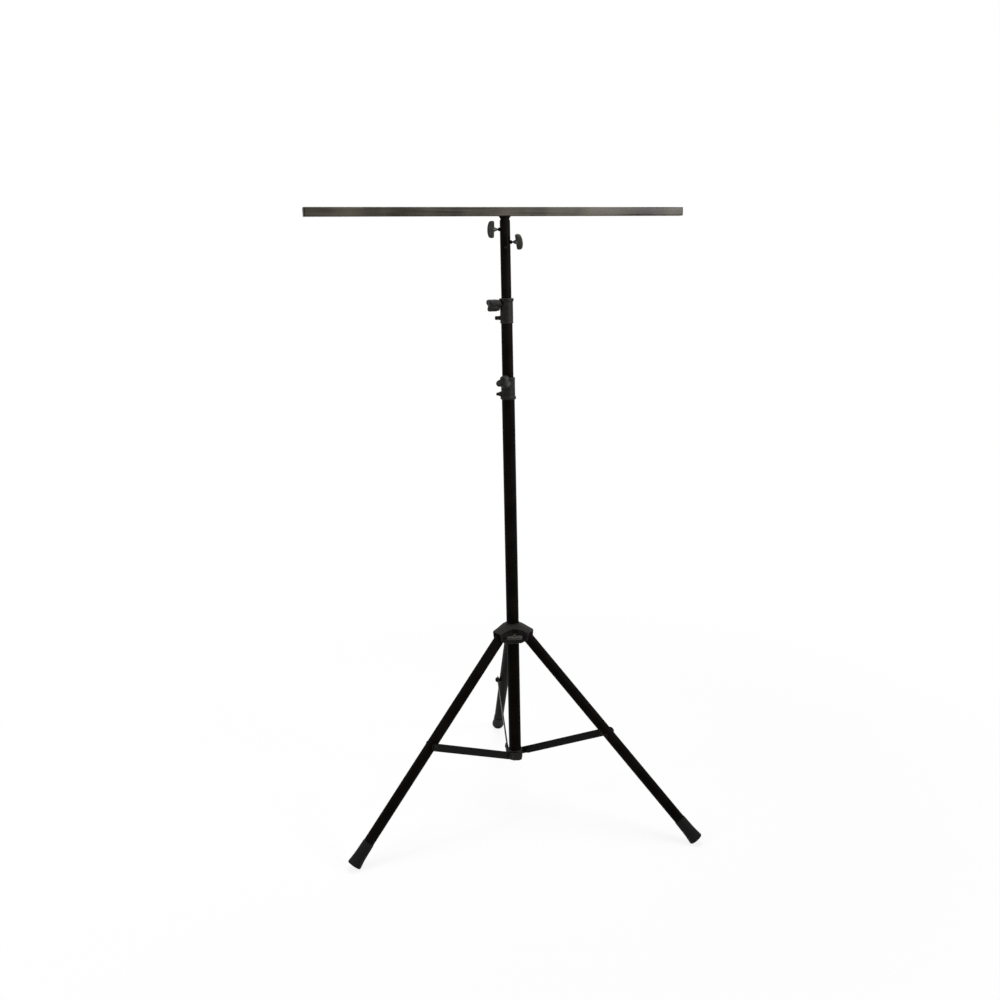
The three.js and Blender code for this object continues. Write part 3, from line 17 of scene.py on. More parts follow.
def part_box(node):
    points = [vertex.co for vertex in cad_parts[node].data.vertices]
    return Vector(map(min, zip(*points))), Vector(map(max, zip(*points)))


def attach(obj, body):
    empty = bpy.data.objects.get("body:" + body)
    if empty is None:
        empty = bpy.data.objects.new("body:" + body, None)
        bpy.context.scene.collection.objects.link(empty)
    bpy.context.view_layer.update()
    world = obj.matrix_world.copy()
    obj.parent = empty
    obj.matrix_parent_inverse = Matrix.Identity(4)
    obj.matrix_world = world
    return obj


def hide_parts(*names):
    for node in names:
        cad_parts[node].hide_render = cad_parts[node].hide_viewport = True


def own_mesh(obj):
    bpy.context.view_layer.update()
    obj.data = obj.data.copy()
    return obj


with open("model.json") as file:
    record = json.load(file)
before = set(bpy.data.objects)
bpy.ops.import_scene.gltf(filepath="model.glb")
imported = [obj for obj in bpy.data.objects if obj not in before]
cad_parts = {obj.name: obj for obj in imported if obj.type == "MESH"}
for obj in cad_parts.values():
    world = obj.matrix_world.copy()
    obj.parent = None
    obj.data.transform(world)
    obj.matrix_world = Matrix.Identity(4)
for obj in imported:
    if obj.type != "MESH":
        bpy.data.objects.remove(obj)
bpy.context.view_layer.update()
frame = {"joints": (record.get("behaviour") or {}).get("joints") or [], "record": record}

# %% [markdown]
# ## Where things are
# All sizes are real ones, written in millimetres and turned into metres by MM.
# Places come from the frame: the mast's axis from the main tube, and each axis of turning
# from the joints. That way a piece can't drift away from the part that moves it.

# %% Places taken from the frame
MM = 0.001
CLEARANCE = 0.3 * MM
OVERRUN = 5 * MM
BODY_OF = {
    node: body for body, nodes in frame["record"]["behaviour"]["bodies"].items() for node in nodes
}


def joint(name):
    return next(entry for entry in frame["joints"] if entry["name"] == name)


def joint_point(name):
    return Vector(joint(name)["pos_m"])


def middle_of(node):
    low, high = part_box(node)
    return (low + high) / 2


def top_of(node):
    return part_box(node)[1].z


def foot_of(node):
    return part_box(node)[0].z


MAST = middle_of("main_tube")


def shift(x=0, y=0, z=0):
    return Matrix.Translation((x, y, z))


def spin(angle, axis="Z"):
    return Matrix.Rotation(angle, 4, axis)


def in_scene(name, data):
    body = bpy.data.objects.new(name, data)
    bpy.context.scene.collection.objects.link(body)
    return body


def on_mast(height, azimuth=0):
    """A place on the mast's axis: X points the way of the azimuth and Z is up."""
    return shift(MAST.x, MAST.y, height) @ spin(azimuth)


def azimuth_of(point):
    return atan2(point[1], point[0])


# A lathe turns pieces about Z. These lay them along X or Y.
ALONG_X = spin(pi / 2, "Y")
ALONG_Y = spin(-pi / 2, "X")
print("Mast axis at", round(MAST.x, 5), round(MAST.y, 5))

# %% [markdown]
# ## The workshop: outlines, a lathe, a plate cutter and a saw
# Nearly everything on a stand like this is turned, sawn from tube or cast.
# So a lathe for meshes does most of the work. It takes an outline of radius and height pairs.
# Real edges are never razor sharp, so an outline point may carry a rounding radius,
# which becomes a short arc. Those arcs catch the light and make the piece look solid.

# %% Outlines with rounded corners
ARC_STEPS = 5
FINE_ARC = 8


def rounded(points, steps=ARC_STEPS):
    """Turns (across, up, radius) points into an outline whose corners are arcs."""
    outline = []
    for index, point in enumerate(points):
        corner = Vector(point[:2])
        radius = point[2] if len(point) > 2 else 0
        if not radius:
            outline.append(corner)
            continue
        before = Vector(points[index - 1][:2]) - corner
        after = Vector(points[(index + 1) % len(points)][:2]) - corner
        half = before.angle(after) / 2
        reach = min(radius / tan(half), before.length * 0.49, after.length * 0.49)
        radius = reach * tan(half)
        inward = (before.normalized() + after.normalized()).normalized()
        centre = corner + inward * (radius / sin(half))
        start = azimuth_of(corner + before.normalized() * reach - centre)
        turn = azimuth_of(corner + after.normalized() * reach - centre) - start
        turn = (turn + pi) % (2 * pi) - pi
        for step in range(steps + 1):
            angle = start + turn * step / steps
            outline.append(centre + Vector((cos(angle), sin(angle))) * radius)
    return outline


# %% A mesh from a bmesh, and a mesh moved
def mesh_from(build):
    bmesh.ops.recalc_face_normals(build, faces=build.faces)
    mesh = bpy.data.meshes.new("work")
    build.to_mesh(mesh)
    build.free()
    return mesh


def moved(mesh, place):
    mesh.transform(place)
    return mesh


# %% The lathe
# Sides of a turned piece: tubes and bores, most pieces, bosses and bolts, small rods
FINE, AROUND, SMALL, TINY = 128, 96, 64, 48


def lathe(outline, around=AROUND):
    """Turns an outline about Z. It starts and ends on the axis, or else it closes on itself."""
    build = bmesh.new()
    turns = [2 * pi * step / around for step in range(around)]
    rings = []
    for radius, height in outline:
        if radius < 1e-7:
            rings.append([build.verts.new((0, 0, height))])
        else:
            rings.append([
                build.verts.new((radius * cos(turn), radius * sin(turn), height))
                for turn in turns
            ])
    pairs = list(zip(rings, rings[1:]))
    if len(rings[0]) > 1 or len(rings[-1]) > 1:
        pairs.append((rings[-1], rings[0]))
    for lower, upper in pairs:
        for step in range(around):
            after = (step + 1) % around
            corners = [
                lower[step % len(lower)], lower[after % len(lower)],
                upper[after % len(upper)], upper[step % len(upper)],
            ]
            corners = list(dict.fromkeys(corners))
            if len(corners) > 2:
                build.faces.new(corners)
    return mesh_from(build)


def spun(points, around=AROUND, steps=ARC_STEPS):
    return lathe(rounded(points, steps), around)


def rod(radius, start, end, edge=0.0, around=TINY):
    return spun([(0, start), (radius, start, edge), (radius, end, edge), (0, end)], around)


# %% The plate cutter
def prism(outline, low, high):
    """A flat outline in X and Y, made thick from one height to another."""
    build = bmesh.new()
    rings = [[build.verts.new((x, y, height)) for x, y in outline] for height in (low, high)]
    build.faces.new(rings[0])
    build.faces.new(rings[1])
    for step in range(len(outline)):
        after = (step + 1) % len(outline)
        build.faces.new((rings[0][step], rings[0][after], rings[1][after], rings[1][step]))
    return mesh_from(build)


def turned(mesh, angle):
    return moved(mesh, spin(angle))


def facing_y(mesh):
    """Stands a prism up: its outline's second number becomes the height, its thickness runs along Y."""
    return moved(mesh, spin(pi / 2, "X"))


# %% The saw: joins and cuts closed meshes
def on_bench(mesh):
    return in_scene("on_bench", mesh)


def settled(body, helpers=()):
    """The mesh that an object's modifiers give. The object and its helpers are cleared away."""
    bpy.context.view_layer.update()
    graph = bpy.context.evaluated_depsgraph_get()
    mesh = bpy.data.meshes.new_from_object(body.evaluated_get(graph))
    for each in (body, *helpers):
        bpy.data.objects.remove(each)
    return mesh


def combined(mesh, others, operation):
    body = on_bench(mesh)
    helpers = [on_bench(other) for other in others]
    for helper in helpers:
        step = body.modifiers.new("step", "BOOLEAN")
        step.operation = operation
        step.solver = "MANIFOLD"
        step.object = helper
    return settled(body, helpers)


def cut(mesh, *tools):
    return combined(mesh, tools, "DIFFERENCE")


def join(mesh, *others):
    return combined(mesh, others, "UNION")


def shared_by(mesh, *others):
    return combined(mesh, others, "INTERSECT")


def drill(radius, start, end, place):
    return moved(rod(radius, start, end), place)


def reamer(radius, start, end):
    """A finer cutter, for the bore round a tube."""
    return rod(radius, start, end, around=FINE)


# %% [markdown]
# ## Castings
# A cast piece has no sharp inside corners, because the metal has to flow and the mould has to part.
# Bevelling every seam where a boss meets a barrel is slow work.
# It is easier to join rough solids, rebuild the skin from small voxels and smooth it a little:
# all seams turn into fillets, as they do in a real casting. Bores are cut afterwards and stay crisp.

# %% Voxel casting
def cast(mesh, voxel, smoothing):
    body = on_bench(mesh)
    skin = body.modifiers.new("skin", "REMESH")
    skin.mode = "VOXEL"
    skin.voxel_size = voxel
    soften = body.modifiers.new("soften", "SMOOTH")
    soften.factor = 0.5
    soften.iterations = smoothing
    return settled(body)


# %% [markdown]
# ## Node trees written as sums
# Materials and Geometry Nodes are both trees of small nodes. Wiring them one by one is hard to read.
# Wire holds a socket and understands + - * / and **, so a pattern reads like the formula that it is.
# Tree adds any other node: its type, its settings, then the values of its sockets.

# %% Wire and Tree
def joining(operation, swapped=False):
    """A method that puts a wire and another value into one sum."""
    def joined(self, other):
        pair = (other, self) if swapped else (self, other)
        return self.maths(operation, *pair)
    return joined


class Wire:
    __add__, __radd__ = joining("ADD"), joining("ADD", True)
    __sub__, __rsub__ = joining("SUBTRACT"), joining("SUBTRACT", True)
    __mul__, __rmul__ = joining("MULTIPLY"), joining("MULTIPLY", True)
    __truediv__, __pow__ = joining("DIVIDE"), joining("POWER")

    def __init__(self, tree, socket):
        self.tree = tree
        self.socket = socket

    def out(self, name):
        return Wire(self.tree, self.socket.node.outputs[name])

    def maths(self, operation, *values):
        return self.tree.node("ShaderNodeMath", values, operation=operation)

    def clamped(self):
        return self.maths("MINIMUM", self.maths("MAXIMUM", self, 0.0), 1.0)


class Tree:
    def __init__(self, tree):
        self.tree = tree

    def node(self, kind, values=(), output=0, **settings):
        made = self.tree.nodes.new(kind)
        for name, value in settings.items():
            setattr(made, name, value)
        pairs = values.items() if isinstance(values, dict) else enumerate(values)
        for name, value in pairs:
            self.feed(made.inputs[name], value)
        return Wire(self, made.outputs[output]) if made.outputs else made

    def feed(self, socket, value):
        if isinstance(value, Wire):
            self.tree.links.new(value.socket, socket)
        else:
            socket.default_value = value


# %% [markdown]
# ## Finishes
# Each mesh keeps the coordinates that it had on the bench, before it was put in its place.
# The materials read those, so streaks run along a tube whichever way the tube leans.
# A second value, rub, says how sharp an outer edge is. Handling polishes such edges first.

# %% Bench coordinates and worn edges
RUB_RADIUS = 1.2 * MM


def column(items, name, kind, width=1):
    """One property of all vertices, edges, corners or faces, with width numbers in each row."""
    values = np.empty(len(items) * width, kind)
    items.foreach_get(name, values)
    return values.reshape(-1, width) if width > 1 else values


def rub_of(mesh):
    """For each vertex, from 0 on a flat face to 1 on an outer edge sharper than RUB_RADIUS."""
    faces = mesh.polygons
    normals = column(faces, "normal", np.float32, 3)
    centres = column(faces, "center", np.float32, 3)
    face_of_loop = np.repeat(np.arange(len(faces)), column(faces, "loop_total", np.int32))
    edge_of_loop = column(mesh.loops, "edge_index", np.int32)
    order = np.argsort(edge_of_loop, kind="stable")
    edges, counts = np.unique(edge_of_loop, return_counts=True)
    starts = np.cumsum(counts) - counts
    paired = counts == 2
    first = face_of_loop[order[starts[paired]]]
    second = face_of_loop[order[starts[paired] + 1]]
    across = centres[second] - centres[first]
    spacing = np.linalg.norm(across, axis=1) + 1e-9
    angle = np.arccos(np.clip((normals[first] * normals[second]).sum(1), -1, 1))
    outer = (normals[first] * across).sum(1) < 0
    sharpness = np.clip(np.where(outer, angle / spacing, 0) * RUB_RADIUS, 0, 1)
    ends = column(mesh.edges, "vertices", np.int32, 2)[edges[paired]]
    rub = np.zeros(len(mesh.vertices), np.float32)
    for side in (0, 1):
        np.maximum.at(rub, ends[:, side], sharpness)
    return rub


def marked(mesh):
    """Keeps the bench coordinates and the rub as attributes of the mesh."""
    places = column(mesh.vertices, "co", np.float32, 3).ravel()
    mesh.attributes.new("bench", "FLOAT_VECTOR", "POINT").data.foreach_set("vector", places)
    mesh.attributes.new("rub", "FLOAT", "POINT").data.foreach_set("value", rub_of(mesh))
    return mesh


# %% Parts of a finish
class Finish(Tree):
    """A material with one Principled shader, and the patterns that finishes share."""

    def __init__(self, name):
        self.material = bpy.data.materials.new(name)
        self.material.use_nodes = True
        super().__init__(self.material.node_tree)
        self.shader = self.tree.nodes["Principled BSDF"]
        self.bench = self.node("ShaderNodeAttribute", attribute_name="bench").out("Vector")
        self.rub = self.node("ShaderNodeAttribute", attribute_name="rub").out("Fac")

    def noise(self, size, detail=2.0, stretch=(1, 1, 1)):
        """Soft blotches about as wide as size, in metres, drawn out along an axis by stretch."""
        scale = tuple(1 / each for each in stretch)
        place = self.node("ShaderNodeMapping", {"Vector": self.bench, "Scale": scale})
        values = {"Vector": place, "Scale": 1 / size, "Detail": detail}
        return self.node("ShaderNodeTexNoise", values)

    def band(self, value, low, high):
        """0 below low, 1 above high, and smooth between them."""
        return self.node("ShaderNodeMapRange", [value, low, high], interpolation_type="SMOOTHSTEP")

    def mixed(self, share, first, second):
        values = {0: share, 6: first, 7: second}
        return self.node("ShaderNodeMix", values, 2, data_type="RGBA")

    def bump(self, height, depth, strength=1.0):
        values = {"Strength": strength, "Distance": depth, "Height": height}
        return self.node("ShaderNodeBump", values)

    def give(self, **values):
        for name, value in values.items():
            self.feed(self.shader.inputs[name.replace("_", " ").title().replace("Ior", "IOR")], value)
        return self.material


def rgb(red, green, blue):
    return (red, green, blue, 1.0)


# %% [markdown]
# Powder coat is sprayed as dust and melts in an oven. It keeps a fine orange-peel skin.
# Up close that skin breaks the highlight. From afar it only makes the gloss soft.
# Long, faint streaks come from the drawn tube under it, and from wiping. Broad clouds give the coat an
# uneven tone. On the grey bar they are large and strong, a painted reflection of the lamps.

# %% Powder coats
def powder_coat(name, dark, light, worn, gloss, specular, tone_and_sheen_patch=0.06, drawn=(1, 1, 60)):
    """drawn tells along which axis the tube was drawn, because its streaks run that way."""
    finish = Finish(name)
    streaks = finish.noise(3 * MM, 3.0, drawn)
    # Clouds as wide as the patch size given: uneven tone, and on the grey bar a painted reflection, light
    # and dark patches that stand in for the lamps' sheen
    clouds = finish.noise(tone_and_sheen_patch, 3.0)
    peel = finish.noise(0.9 * MM, 1.0)
    colour = finish.mixed(finish.band(clouds * 0.7 + streaks * 0.3, 0.35, 0.65), dark, light)
    edge = finish.band(finish.rub * 0.8 + clouds * 0.4, 0.7, 1.1)
    return finish.give(
        base_color=finish.mixed(edge * 0.6, colour, worn),
        roughness=gloss + (streaks - 0.5) * 0.16 + (clouds - 0.5) * 0.12,
        normal=finish.bump(peel, 0.02 * MM, 0.25),
        specular_ior_level=specular,
    )


# %% [markdown]
# Cast aluminium that is painted black looks rougher: sand or shot gives it a grain
# about a millimetre wide. Moulded plastic has a finer, more even grain from the tool.

# %% Castings, plastic and rubber
def grained(name, dark, light, worn, gloss, specular, grain, depth, metal=0.0):
    finish = Finish(name)
    specks = finish.noise(grain, 2.0)
    clouds = finish.noise(grain * 16, 3.0)
    colour = finish.mixed(finish.band(clouds * 0.6 + specks * 0.4, 0.35, 0.65), dark, light)
    edge = finish.band(finish.rub * 0.9 + specks * 0.4, 0.6, 1.1)
    return finish.give(
        base_color=finish.mixed(edge * 0.7, colour, worn),
        roughness=gloss + (clouds - 0.5) * 0.2 - edge * 0.1,
        normal=finish.bump(specks, depth, 0.8),
        specular_ior_level=specular,
        metallic=metal,
    )


# %% [markdown]
# Zinc plate on small steel pieces is bright but cloudy, with a warm or bluish film.

# %% Plated steel
def plated(name, dark, light, gloss, metal, grain, specular=0.5):
    finish = Finish(name)
    film = finish.noise(6 * MM, 3.0)
    turning = finish.noise(0.25 * MM, 1.0, (8, 8, 1))
    colour = finish.mixed(finish.band(film, 0.3, 0.7), dark, light)
    return finish.give(
        base_color=finish.mixed(finish.rub * 0.4, colour, light),
        roughness=gloss + (film - 0.5) * 0.2,
        normal=finish.bump(turning, grain, 0.5),
        specular_ior_level=specular,
        metallic=metal,
    )


# %% The finishes of this stand, by the record's slots
# First the function that makes it, then the dark, the light and the worn colour. Plated steel
# has no worn one. The roughness and the other values follow in the order of the function.
RECIPES = {
    "black_powder_coat": (
        powder_coat, rgb(0.0014, 0.0011, 0.0008), rgb(0.0042, 0.0032, 0.0027),
        rgb(0.012, 0.010, 0.009), 0.46, 0.015,
    ),
    # The bar's clouds are a fifth of a metre wide and run from near black to warm grey: a painted
    # reflection of the lamps along the bar
    "grey_powder_coat": (
        powder_coat, rgb(0.006, 0.0044, 0.0028), rgb(0.068, 0.059, 0.045),
        rgb(0.085, 0.076, 0.062), 0.40, 0.12, 0.2, (60, 1, 1),
    ),
    "cast_black": (
        grained, rgb(0.0045, 0.0039, 0.0037), rgb(0.0120, 0.0104, 0.0098),
        rgb(0.030, 0.028, 0.026), 0.50, 0.09, 0.8 * MM, 0.06 * MM,
    ),
    "knob_plastic": (
        grained, rgb(0.0020, 0.0021, 0.0017), rgb(0.018, 0.019, 0.016),
        rgb(0.032, 0.033, 0.029), 0.45, 0.12, 0.5 * MM, 0.03 * MM,
    ),
    "knob_metal": (
        grained, rgb(0.014, 0.013, 0.010), rgb(0.034, 0.032, 0.026),
        rgb(0.07, 0.066, 0.055), 0.40, 0.20, 0.7 * MM, 0.04 * MM, 0.1,
    ),
    "black_plastic": (
        grained, rgb(0.0030, 0.0030, 0.0030), rgb(0.0060, 0.0060, 0.0060),
        rgb(0.014, 0.014, 0.014), 0.5, 0.12, 0.4 * MM, 0.02 * MM,
    ),
    "black_rubber": (
        grained, rgb(0.0030, 0.0030, 0.0030), rgb(0.0065, 0.0065, 0.0060),
        rgb(0.015, 0.015, 0.014), 0.7, 0.10, 1.2 * MM, 0.05 * MM,
    ),
    "zinc_steel": (
        plated, rgb(0.32, 0.31, 0.29), rgb(0.50, 0.50, 0.49), 0.32, 0.9, 0.01 * MM,
    ),
    "black_steel": (
        plated, rgb(0.0018, 0.0016, 0.0015), rgb(0.0050, 0.0045, 0.0042), 0.40, 0.0, 0.01 * MM, 0.07,
    ),
}
FINISHES = {name: make(name, *values) for name, (make, *values) in RECIPES.items()}
print("Finishes:", ", ".join(FINISHES))

# %% [markdown]
# ## Fitting a piece
# fitted() puts a mesh where its node is, gives it its finish and lets it ride on the node's body.
# The place goes into the mesh, so the object itself stays at the origin, unturned.

# %% Fitting
SMOOTH_UNDER = radians(38)


def shaded(mesh):
    mesh.polygons.foreach_set("use_smooth", np.ones(len(mesh.polygons), bool))
    mesh.set_sharp_from_angle(angle=SMOOTH_UNDER)
    return mesh


def fitted(node, mesh, place, slot, name=None):
    """The finished piece that stands for a node of the frame, or an extra one beside it."""
    shaded(moved(marked(mesh), place))
    mesh.materials.clear()
    mesh.materials.append(FINISHES[slot])
    piece = in_scene(name or f"{node}_finished", mesh)
    mesh.name = piece.name
    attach(piece, BODY_OF[node])
    if name is None:
        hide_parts(node)
    print(f"{piece.name}: {len(mesh.polygons)} faces on {BODY_OF[node]}")
    return piece


# %% [markdown]
# ## Camera
# The camera stands a little over three metres in front of the mast, 1.78 m above the floor,
# and looks down by about thirteen degrees. Its place was found by matching the ends
# of the bar, the clamps and the feet with the photograph.

# %% Camera
CAMERA_FROM_MAST = Vector((6.613, -3152.784, 1779.502)) * MM
CAMERA_YAW = -0.0124161
CAMERA_PITCH = -0.2222670
CAMERA_ROLL = -0.0216899
CAMERA_LENS = 36.678
CAMERA_SENSOR = 36.0


def camera_turn(yaw, pitch, roll):
    ahead = Vector((
        sin(yaw) * cos(pitch), cos(yaw) * cos(pitch), sin(pitch),
    ))
    right = Vector((cos(yaw), -sin(yaw), 0))
    above = right.cross(ahead)
    rolled_right = right * cos(roll) + above * sin(roll)
    rolled_above = above * cos(roll) - right * sin(roll)
    return Matrix((rolled_right, rolled_above, -ahead)).transposed().to_4x4()


camera = in_scene("camera", bpy.data.cameras.new("camera"))
camera.data.sensor_width = CAMERA_SENSOR
camera.data.lens = CAMERA_LENS
spot = CAMERA_FROM_MAST + Vector((MAST.x, MAST.y, 0))
camera.matrix_world = shift(*spot) @ camera_turn(CAMERA_YAW, CAMERA_PITCH, CAMERA_ROLL)
bpy.context.scene.camera = camera
bpy.context.scene.view_settings.view_transform = "Standard"
print("Camera at", tuple(round(x, 3) for x in spot))

# %% [markdown]
# ## Mast tubes
# Three drawn steel tubes slide in one another. Sawn ends are deburred, so the rims are
# slightly round. A row of holes down one side takes the lock pin. The lathe makes the tube
# and the saw drills it. A ring of faces close to each rim keeps the wear mark short.

# %% Tubes
TUBE_WALL = 1.5 * MM
TUBE_EDGE = 0.45 * MM
RIM_BAND = 3 * MM


def tube_outline(outer, inner, bottom, top, edge=TUBE_EDGE):
    return rounded([
        (inner, bottom, edge), (outer, bottom, edge), (outer, bottom + RIM_BAND),
        (outer, top - RIM_BAND), (outer, top, edge), (inner, top, edge),
        (inner, top - RIM_BAND), (inner, bottom + RIM_BAND),
    ])


PIN_HOLE_RADIUS = 2.8 * MM
PIN_HOLE_PITCH = 120 * MM
PIN_HOLE_STEPS = (-1, 0, 1, 2, 3)


def pin_place(which):
    """On the mast's axis at the height of a lock pin, with X along the pin."""
    azimuth = azimuth_of(joint(f"{which}_pin_pull")["axis"])
    return on_mast(middle_of(f"{which}_lock_pin").z, azimuth)


def wall_hole(place, tube_radius, radius=PIN_HOLE_RADIUS):
    """A cutter through one wall of a tube, along the place's X."""
    return drill(radius, tube_radius / 2, tube_radius * 1.5, place @ ALONG_X)


def pin_holes(which, radius):
    """Cutters for the row of lock holes, which starts half a pitch from the pin."""
    return [
        wall_hole(pin_place(which) @ shift(z=-PIN_HOLE_PITCH * (step + 0.5)), radius)
        for step in PIN_HOLE_STEPS
    ]


def radius_of(node):
    low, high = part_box(node)
    return (high.x - low.x) / 2


def mast_tube(node, cutters):
    outer = radius_of(node)
    outline = tube_outline(outer, outer - TUBE_WALL, foot_of(node), top_of(node))
    tube = moved(lathe(outline, FINE), on_mast(0))
    tube = moved(cut(tube, *cutters), on_mast(0).inverted())
    return fitted(node, tube, on_mast(0), "black_powder_coat")


T_SCREW_HOLE = 3.3 * MM
TOP_TUBE_RADIUS = radius_of("top_tube")
MIDDLE_TUBE_RADIUS = radius_of("middle_tube")
MAIN_TUBE_RADIUS = radius_of("main_tube")


def handle_place(name):
    """On the mast's axis at a hand screw's height, with X along the screw."""
    return on_mast(joint_point(name).z, azimuth_of(joint(name)["axis"]))


SOCKET_PLACES = {which: handle_place(f"t_knob_{which}_turn") for which in ("upper", "lower")}
RIVET_AZIMUTH = radians(272)
RIVET_PLACE = on_mast(middle_of("spigot_stop_rivet").z, RIVET_AZIMUTH)
rivet_reach = TOP_TUBE_RADIUS * 1.5
rivet_hole = drill(PIN_HOLE_RADIUS, -rivet_reach, rivet_reach, RIVET_PLACE @ ALONG_X)
socket_holes = [
    wall_hole(place, TOP_TUBE_RADIUS, T_SCREW_HOLE) for place in SOCKET_PLACES.values()
]
mast_tube("top_tube", [*pin_holes("upper", TOP_TUBE_RADIUS), rivet_hole, *socket_holes])
upper_passage = wall_hole(pin_place("upper"), MIDDLE_TUBE_RADIUS)
mast_tube("middle_tube", [*pin_holes("lower", MIDDLE_TUBE_RADIUS), upper_passage])
lower_passage = wall_hole(pin_place("lower"), MAIN_TUBE_RADIUS)
CUP_SCREW_AZIMUTH = radians(109.3)
CUP_SCREW_PLACE = on_mast(middle_of("base_cup_screw").z, CUP_SCREW_AZIMUTH)
mast_tube("main_tube", [lower_passage, wall_hole(CUP_SCREW_PLACE, MAIN_TUBE_RADIUS)])

# %% [markdown]
# ## Cross bar
# The bar is a square tube with small round corners, closed by a plastic plug in each end.
# A square section with round corners is swept along the bar. The plug sits over the end.

# %% Bar and plugs
BAR_SIZE = 26 * MM
BAR_WALL = 1.5 * MM
BAR_CORNER = 3.4 * MM
BAR_LENGTH = 1200 * MM
BAR_TURN = radians(21)
PLUG_FLANGE = 2.5 * MM
PLUG_EDGE = 0.9 * MM
PLUG_STEM = 16 * MM
BAR_PLACE = on_mast(middle_of("t_bar_tube").z, BAR_TURN)


def square(size, corner, steps=FINE_ARC):
    half = size / 2
    return rounded([(half, half, corner), (-half, half, corner), (-half, -half, corner),
                    (half, -half, corner)], steps)


def loft(sections, closed=False):
    """Skins a list of rings, each as many points as the next. Ends are capped unless closed."""
    build = bmesh.new()
    rings = [[build.verts.new(point) for point in section] for section in sections]
    pairs = list(zip(rings, rings[1:]))
    if closed:
        pairs.append((rings[-1], rings[0]))
    else:
        build.faces.new(rings[0])
        build.faces.new(rings[-1])
    for lower, upper in pairs:
        for step in range(len(lower)):
            after = (step + 1) % len(lower)
            build.faces.new((lower[step], lower[after], upper[after], upper[step]))
    return mesh_from(build)


def across(x, outline):
    """An outline of Y and Z, stood across the bar."""
    return [(x, *point) for point in outline]


def square_rod(size, corner, start, end):
    return loft([across(x, square(size, corner)) for x in (start, end)])


def eased(edge, steps):
    """Pairs of height and inset that lead round an edge, from the face to the side."""
    angles = [pi / 2 * step / steps for step in range(steps + 1)]
    return [(edge * (1 - cos(angle)), edge * (1 - sin(angle))) for angle in angles]


def bar_tube():
    end = BAR_LENGTH / 2 - PLUG_FLANGE - CLEARANCE
    outer = square(BAR_SIZE, BAR_CORNER)
    inner = square(BAR_SIZE - BAR_WALL * 2, BAR_CORNER - BAR_WALL)
    stations = [-end, -end + RIM_BAND, end - RIM_BAND, end]
    rings = [across(x, outer) for x in stations] + [across(x, inner) for x in reversed(stations)]
    return loft(rings, closed=True)


def bar_plug():
    """The flange is a stack of squares that shrink towards the outer face, the stem has lamellae."""
    end = BAR_LENGTH / 2
    start = end - PLUG_FLANGE
    stack = [(start, 0.0)] + [(end - rise, inset) for rise, inset in reversed(eased(PLUG_EDGE, 6))]
    flange = loft([
        across(x, square(BAR_SIZE - 2 * inset, BAR_CORNER - inset * 0.8)) for x, inset in stack
    ])
    room = BAR_SIZE - 2 * BAR_WALL
    stem = square_rod(room - 3 * MM, 1 * MM, start - PLUG_STEM, start + 0.4 * MM)
    lamellae = []
    for count in range(4):
        x = start - PLUG_STEM * (0.2 + 0.22 * count)
        lamellae.append(square_rod(room - 0.6 * MM, 0.9 * MM, x - 0.5 * MM, x + 0.5 * MM))
    return join(flange, stem, *lamellae)


fitted("t_bar_tube", bar_tube(), BAR_PLACE, "grey_powder_coat")
for side, turn in (("left", pi), ("right", 0)):
    fitted(f"t_bar_plug_{side}", bar_plug(), BAR_PLACE @ spin(turn), "black_plastic")

# %% Spigot
SPIGOT_RADIUS = 13.7 * MM
SPIGOT_WALL = 2 * MM
FLARE_RADIUS = 17 * MM
FLARE_HEIGHT = 6.5 * MM


def spigot():
    bottom, top = foot_of("t_bar_spigot"), top_of("t_bar_spigot")
    inner = SPIGOT_RADIUS - SPIGOT_WALL
    return spun([
        (inner, bottom, 0.4 * MM), (SPIGOT_RADIUS, bottom, 1.2 * MM),
        (SPIGOT_RADIUS, top - FLARE_HEIGHT, 3 * MM),
        (SPIGOT_RADIUS + 2.4 * MM, top - FLARE_HEIGHT * 0.4, 2 * MM),
        (FLARE_RADIUS, top - 0.8 * MM, 0.4 * MM), (FLARE_RADIUS, top, 0.3 * MM), (inner, top, 0.4 * MM),
    ])


fitted("t_bar_spigot", spigot(), on_mast(0, BAR_TURN), "black_powder_coat")
# The weld round the spigot's flare is made further down, with the Geometry Nodes helper.

# %% Stop rivet, nuts and guides
RIVET_SHANK = 2.5 * MM
RIVET_HEAD = 4.5 * MM
RIVET_HEAD_HEIGHT = 1.6 * MM


def stop_rivet():
    wall = TOP_TUBE_RADIUS + CLEARANCE
    end = wall + RIVET_HEAD_HEIGHT
    return spun([
        (0, -end), (RIVET_HEAD * 0.8, -end, 2.5 * MM), (RIVET_HEAD, -wall, 0.2 * MM), (RIVET_SHANK, -wall),
        (RIVET_SHANK, wall), (RIVET_HEAD, wall, 0.2 * MM), (RIVET_HEAD * 0.8, end, 2.5 * MM), (0, end),
    ], TINY)


fitted("spigot_stop_rivet", stop_rivet(), RIVET_PLACE @ ALONG_X, "black_steel")
SOCKET_NUT_RADIUS = 5.5 * MM
SOCKET_NUT_HEIGHT = 4.5 * MM


def socket_nut():
    end = TOP_TUBE_RADIUS + SOCKET_NUT_HEIGHT
    start = TOP_TUBE_RADIUS * 0.6
    boss = spun([
        (T_SCREW_HOLE, start), (SOCKET_NUT_RADIUS, start), (SOCKET_NUT_RADIUS, end, 0.8 * MM),
        (T_SCREW_HOLE, end, 0.4 * MM),
    ], SMALL)
    tube_space = moved(reamer(TOP_TUBE_RADIUS + CLEARANCE, -20 * MM, 20 * MM), ALONG_X.inverted())
    return cut(boss, tube_space)


for which, place in SOCKET_PLACES.items():
    fitted(f"socket_nut_{which}", socket_nut(), place @ ALONG_X, "black_powder_coat")


GUIDE_WALL = 2.5 * MM
GUIDE_FLANGE_HEIGHT = 6 * MM


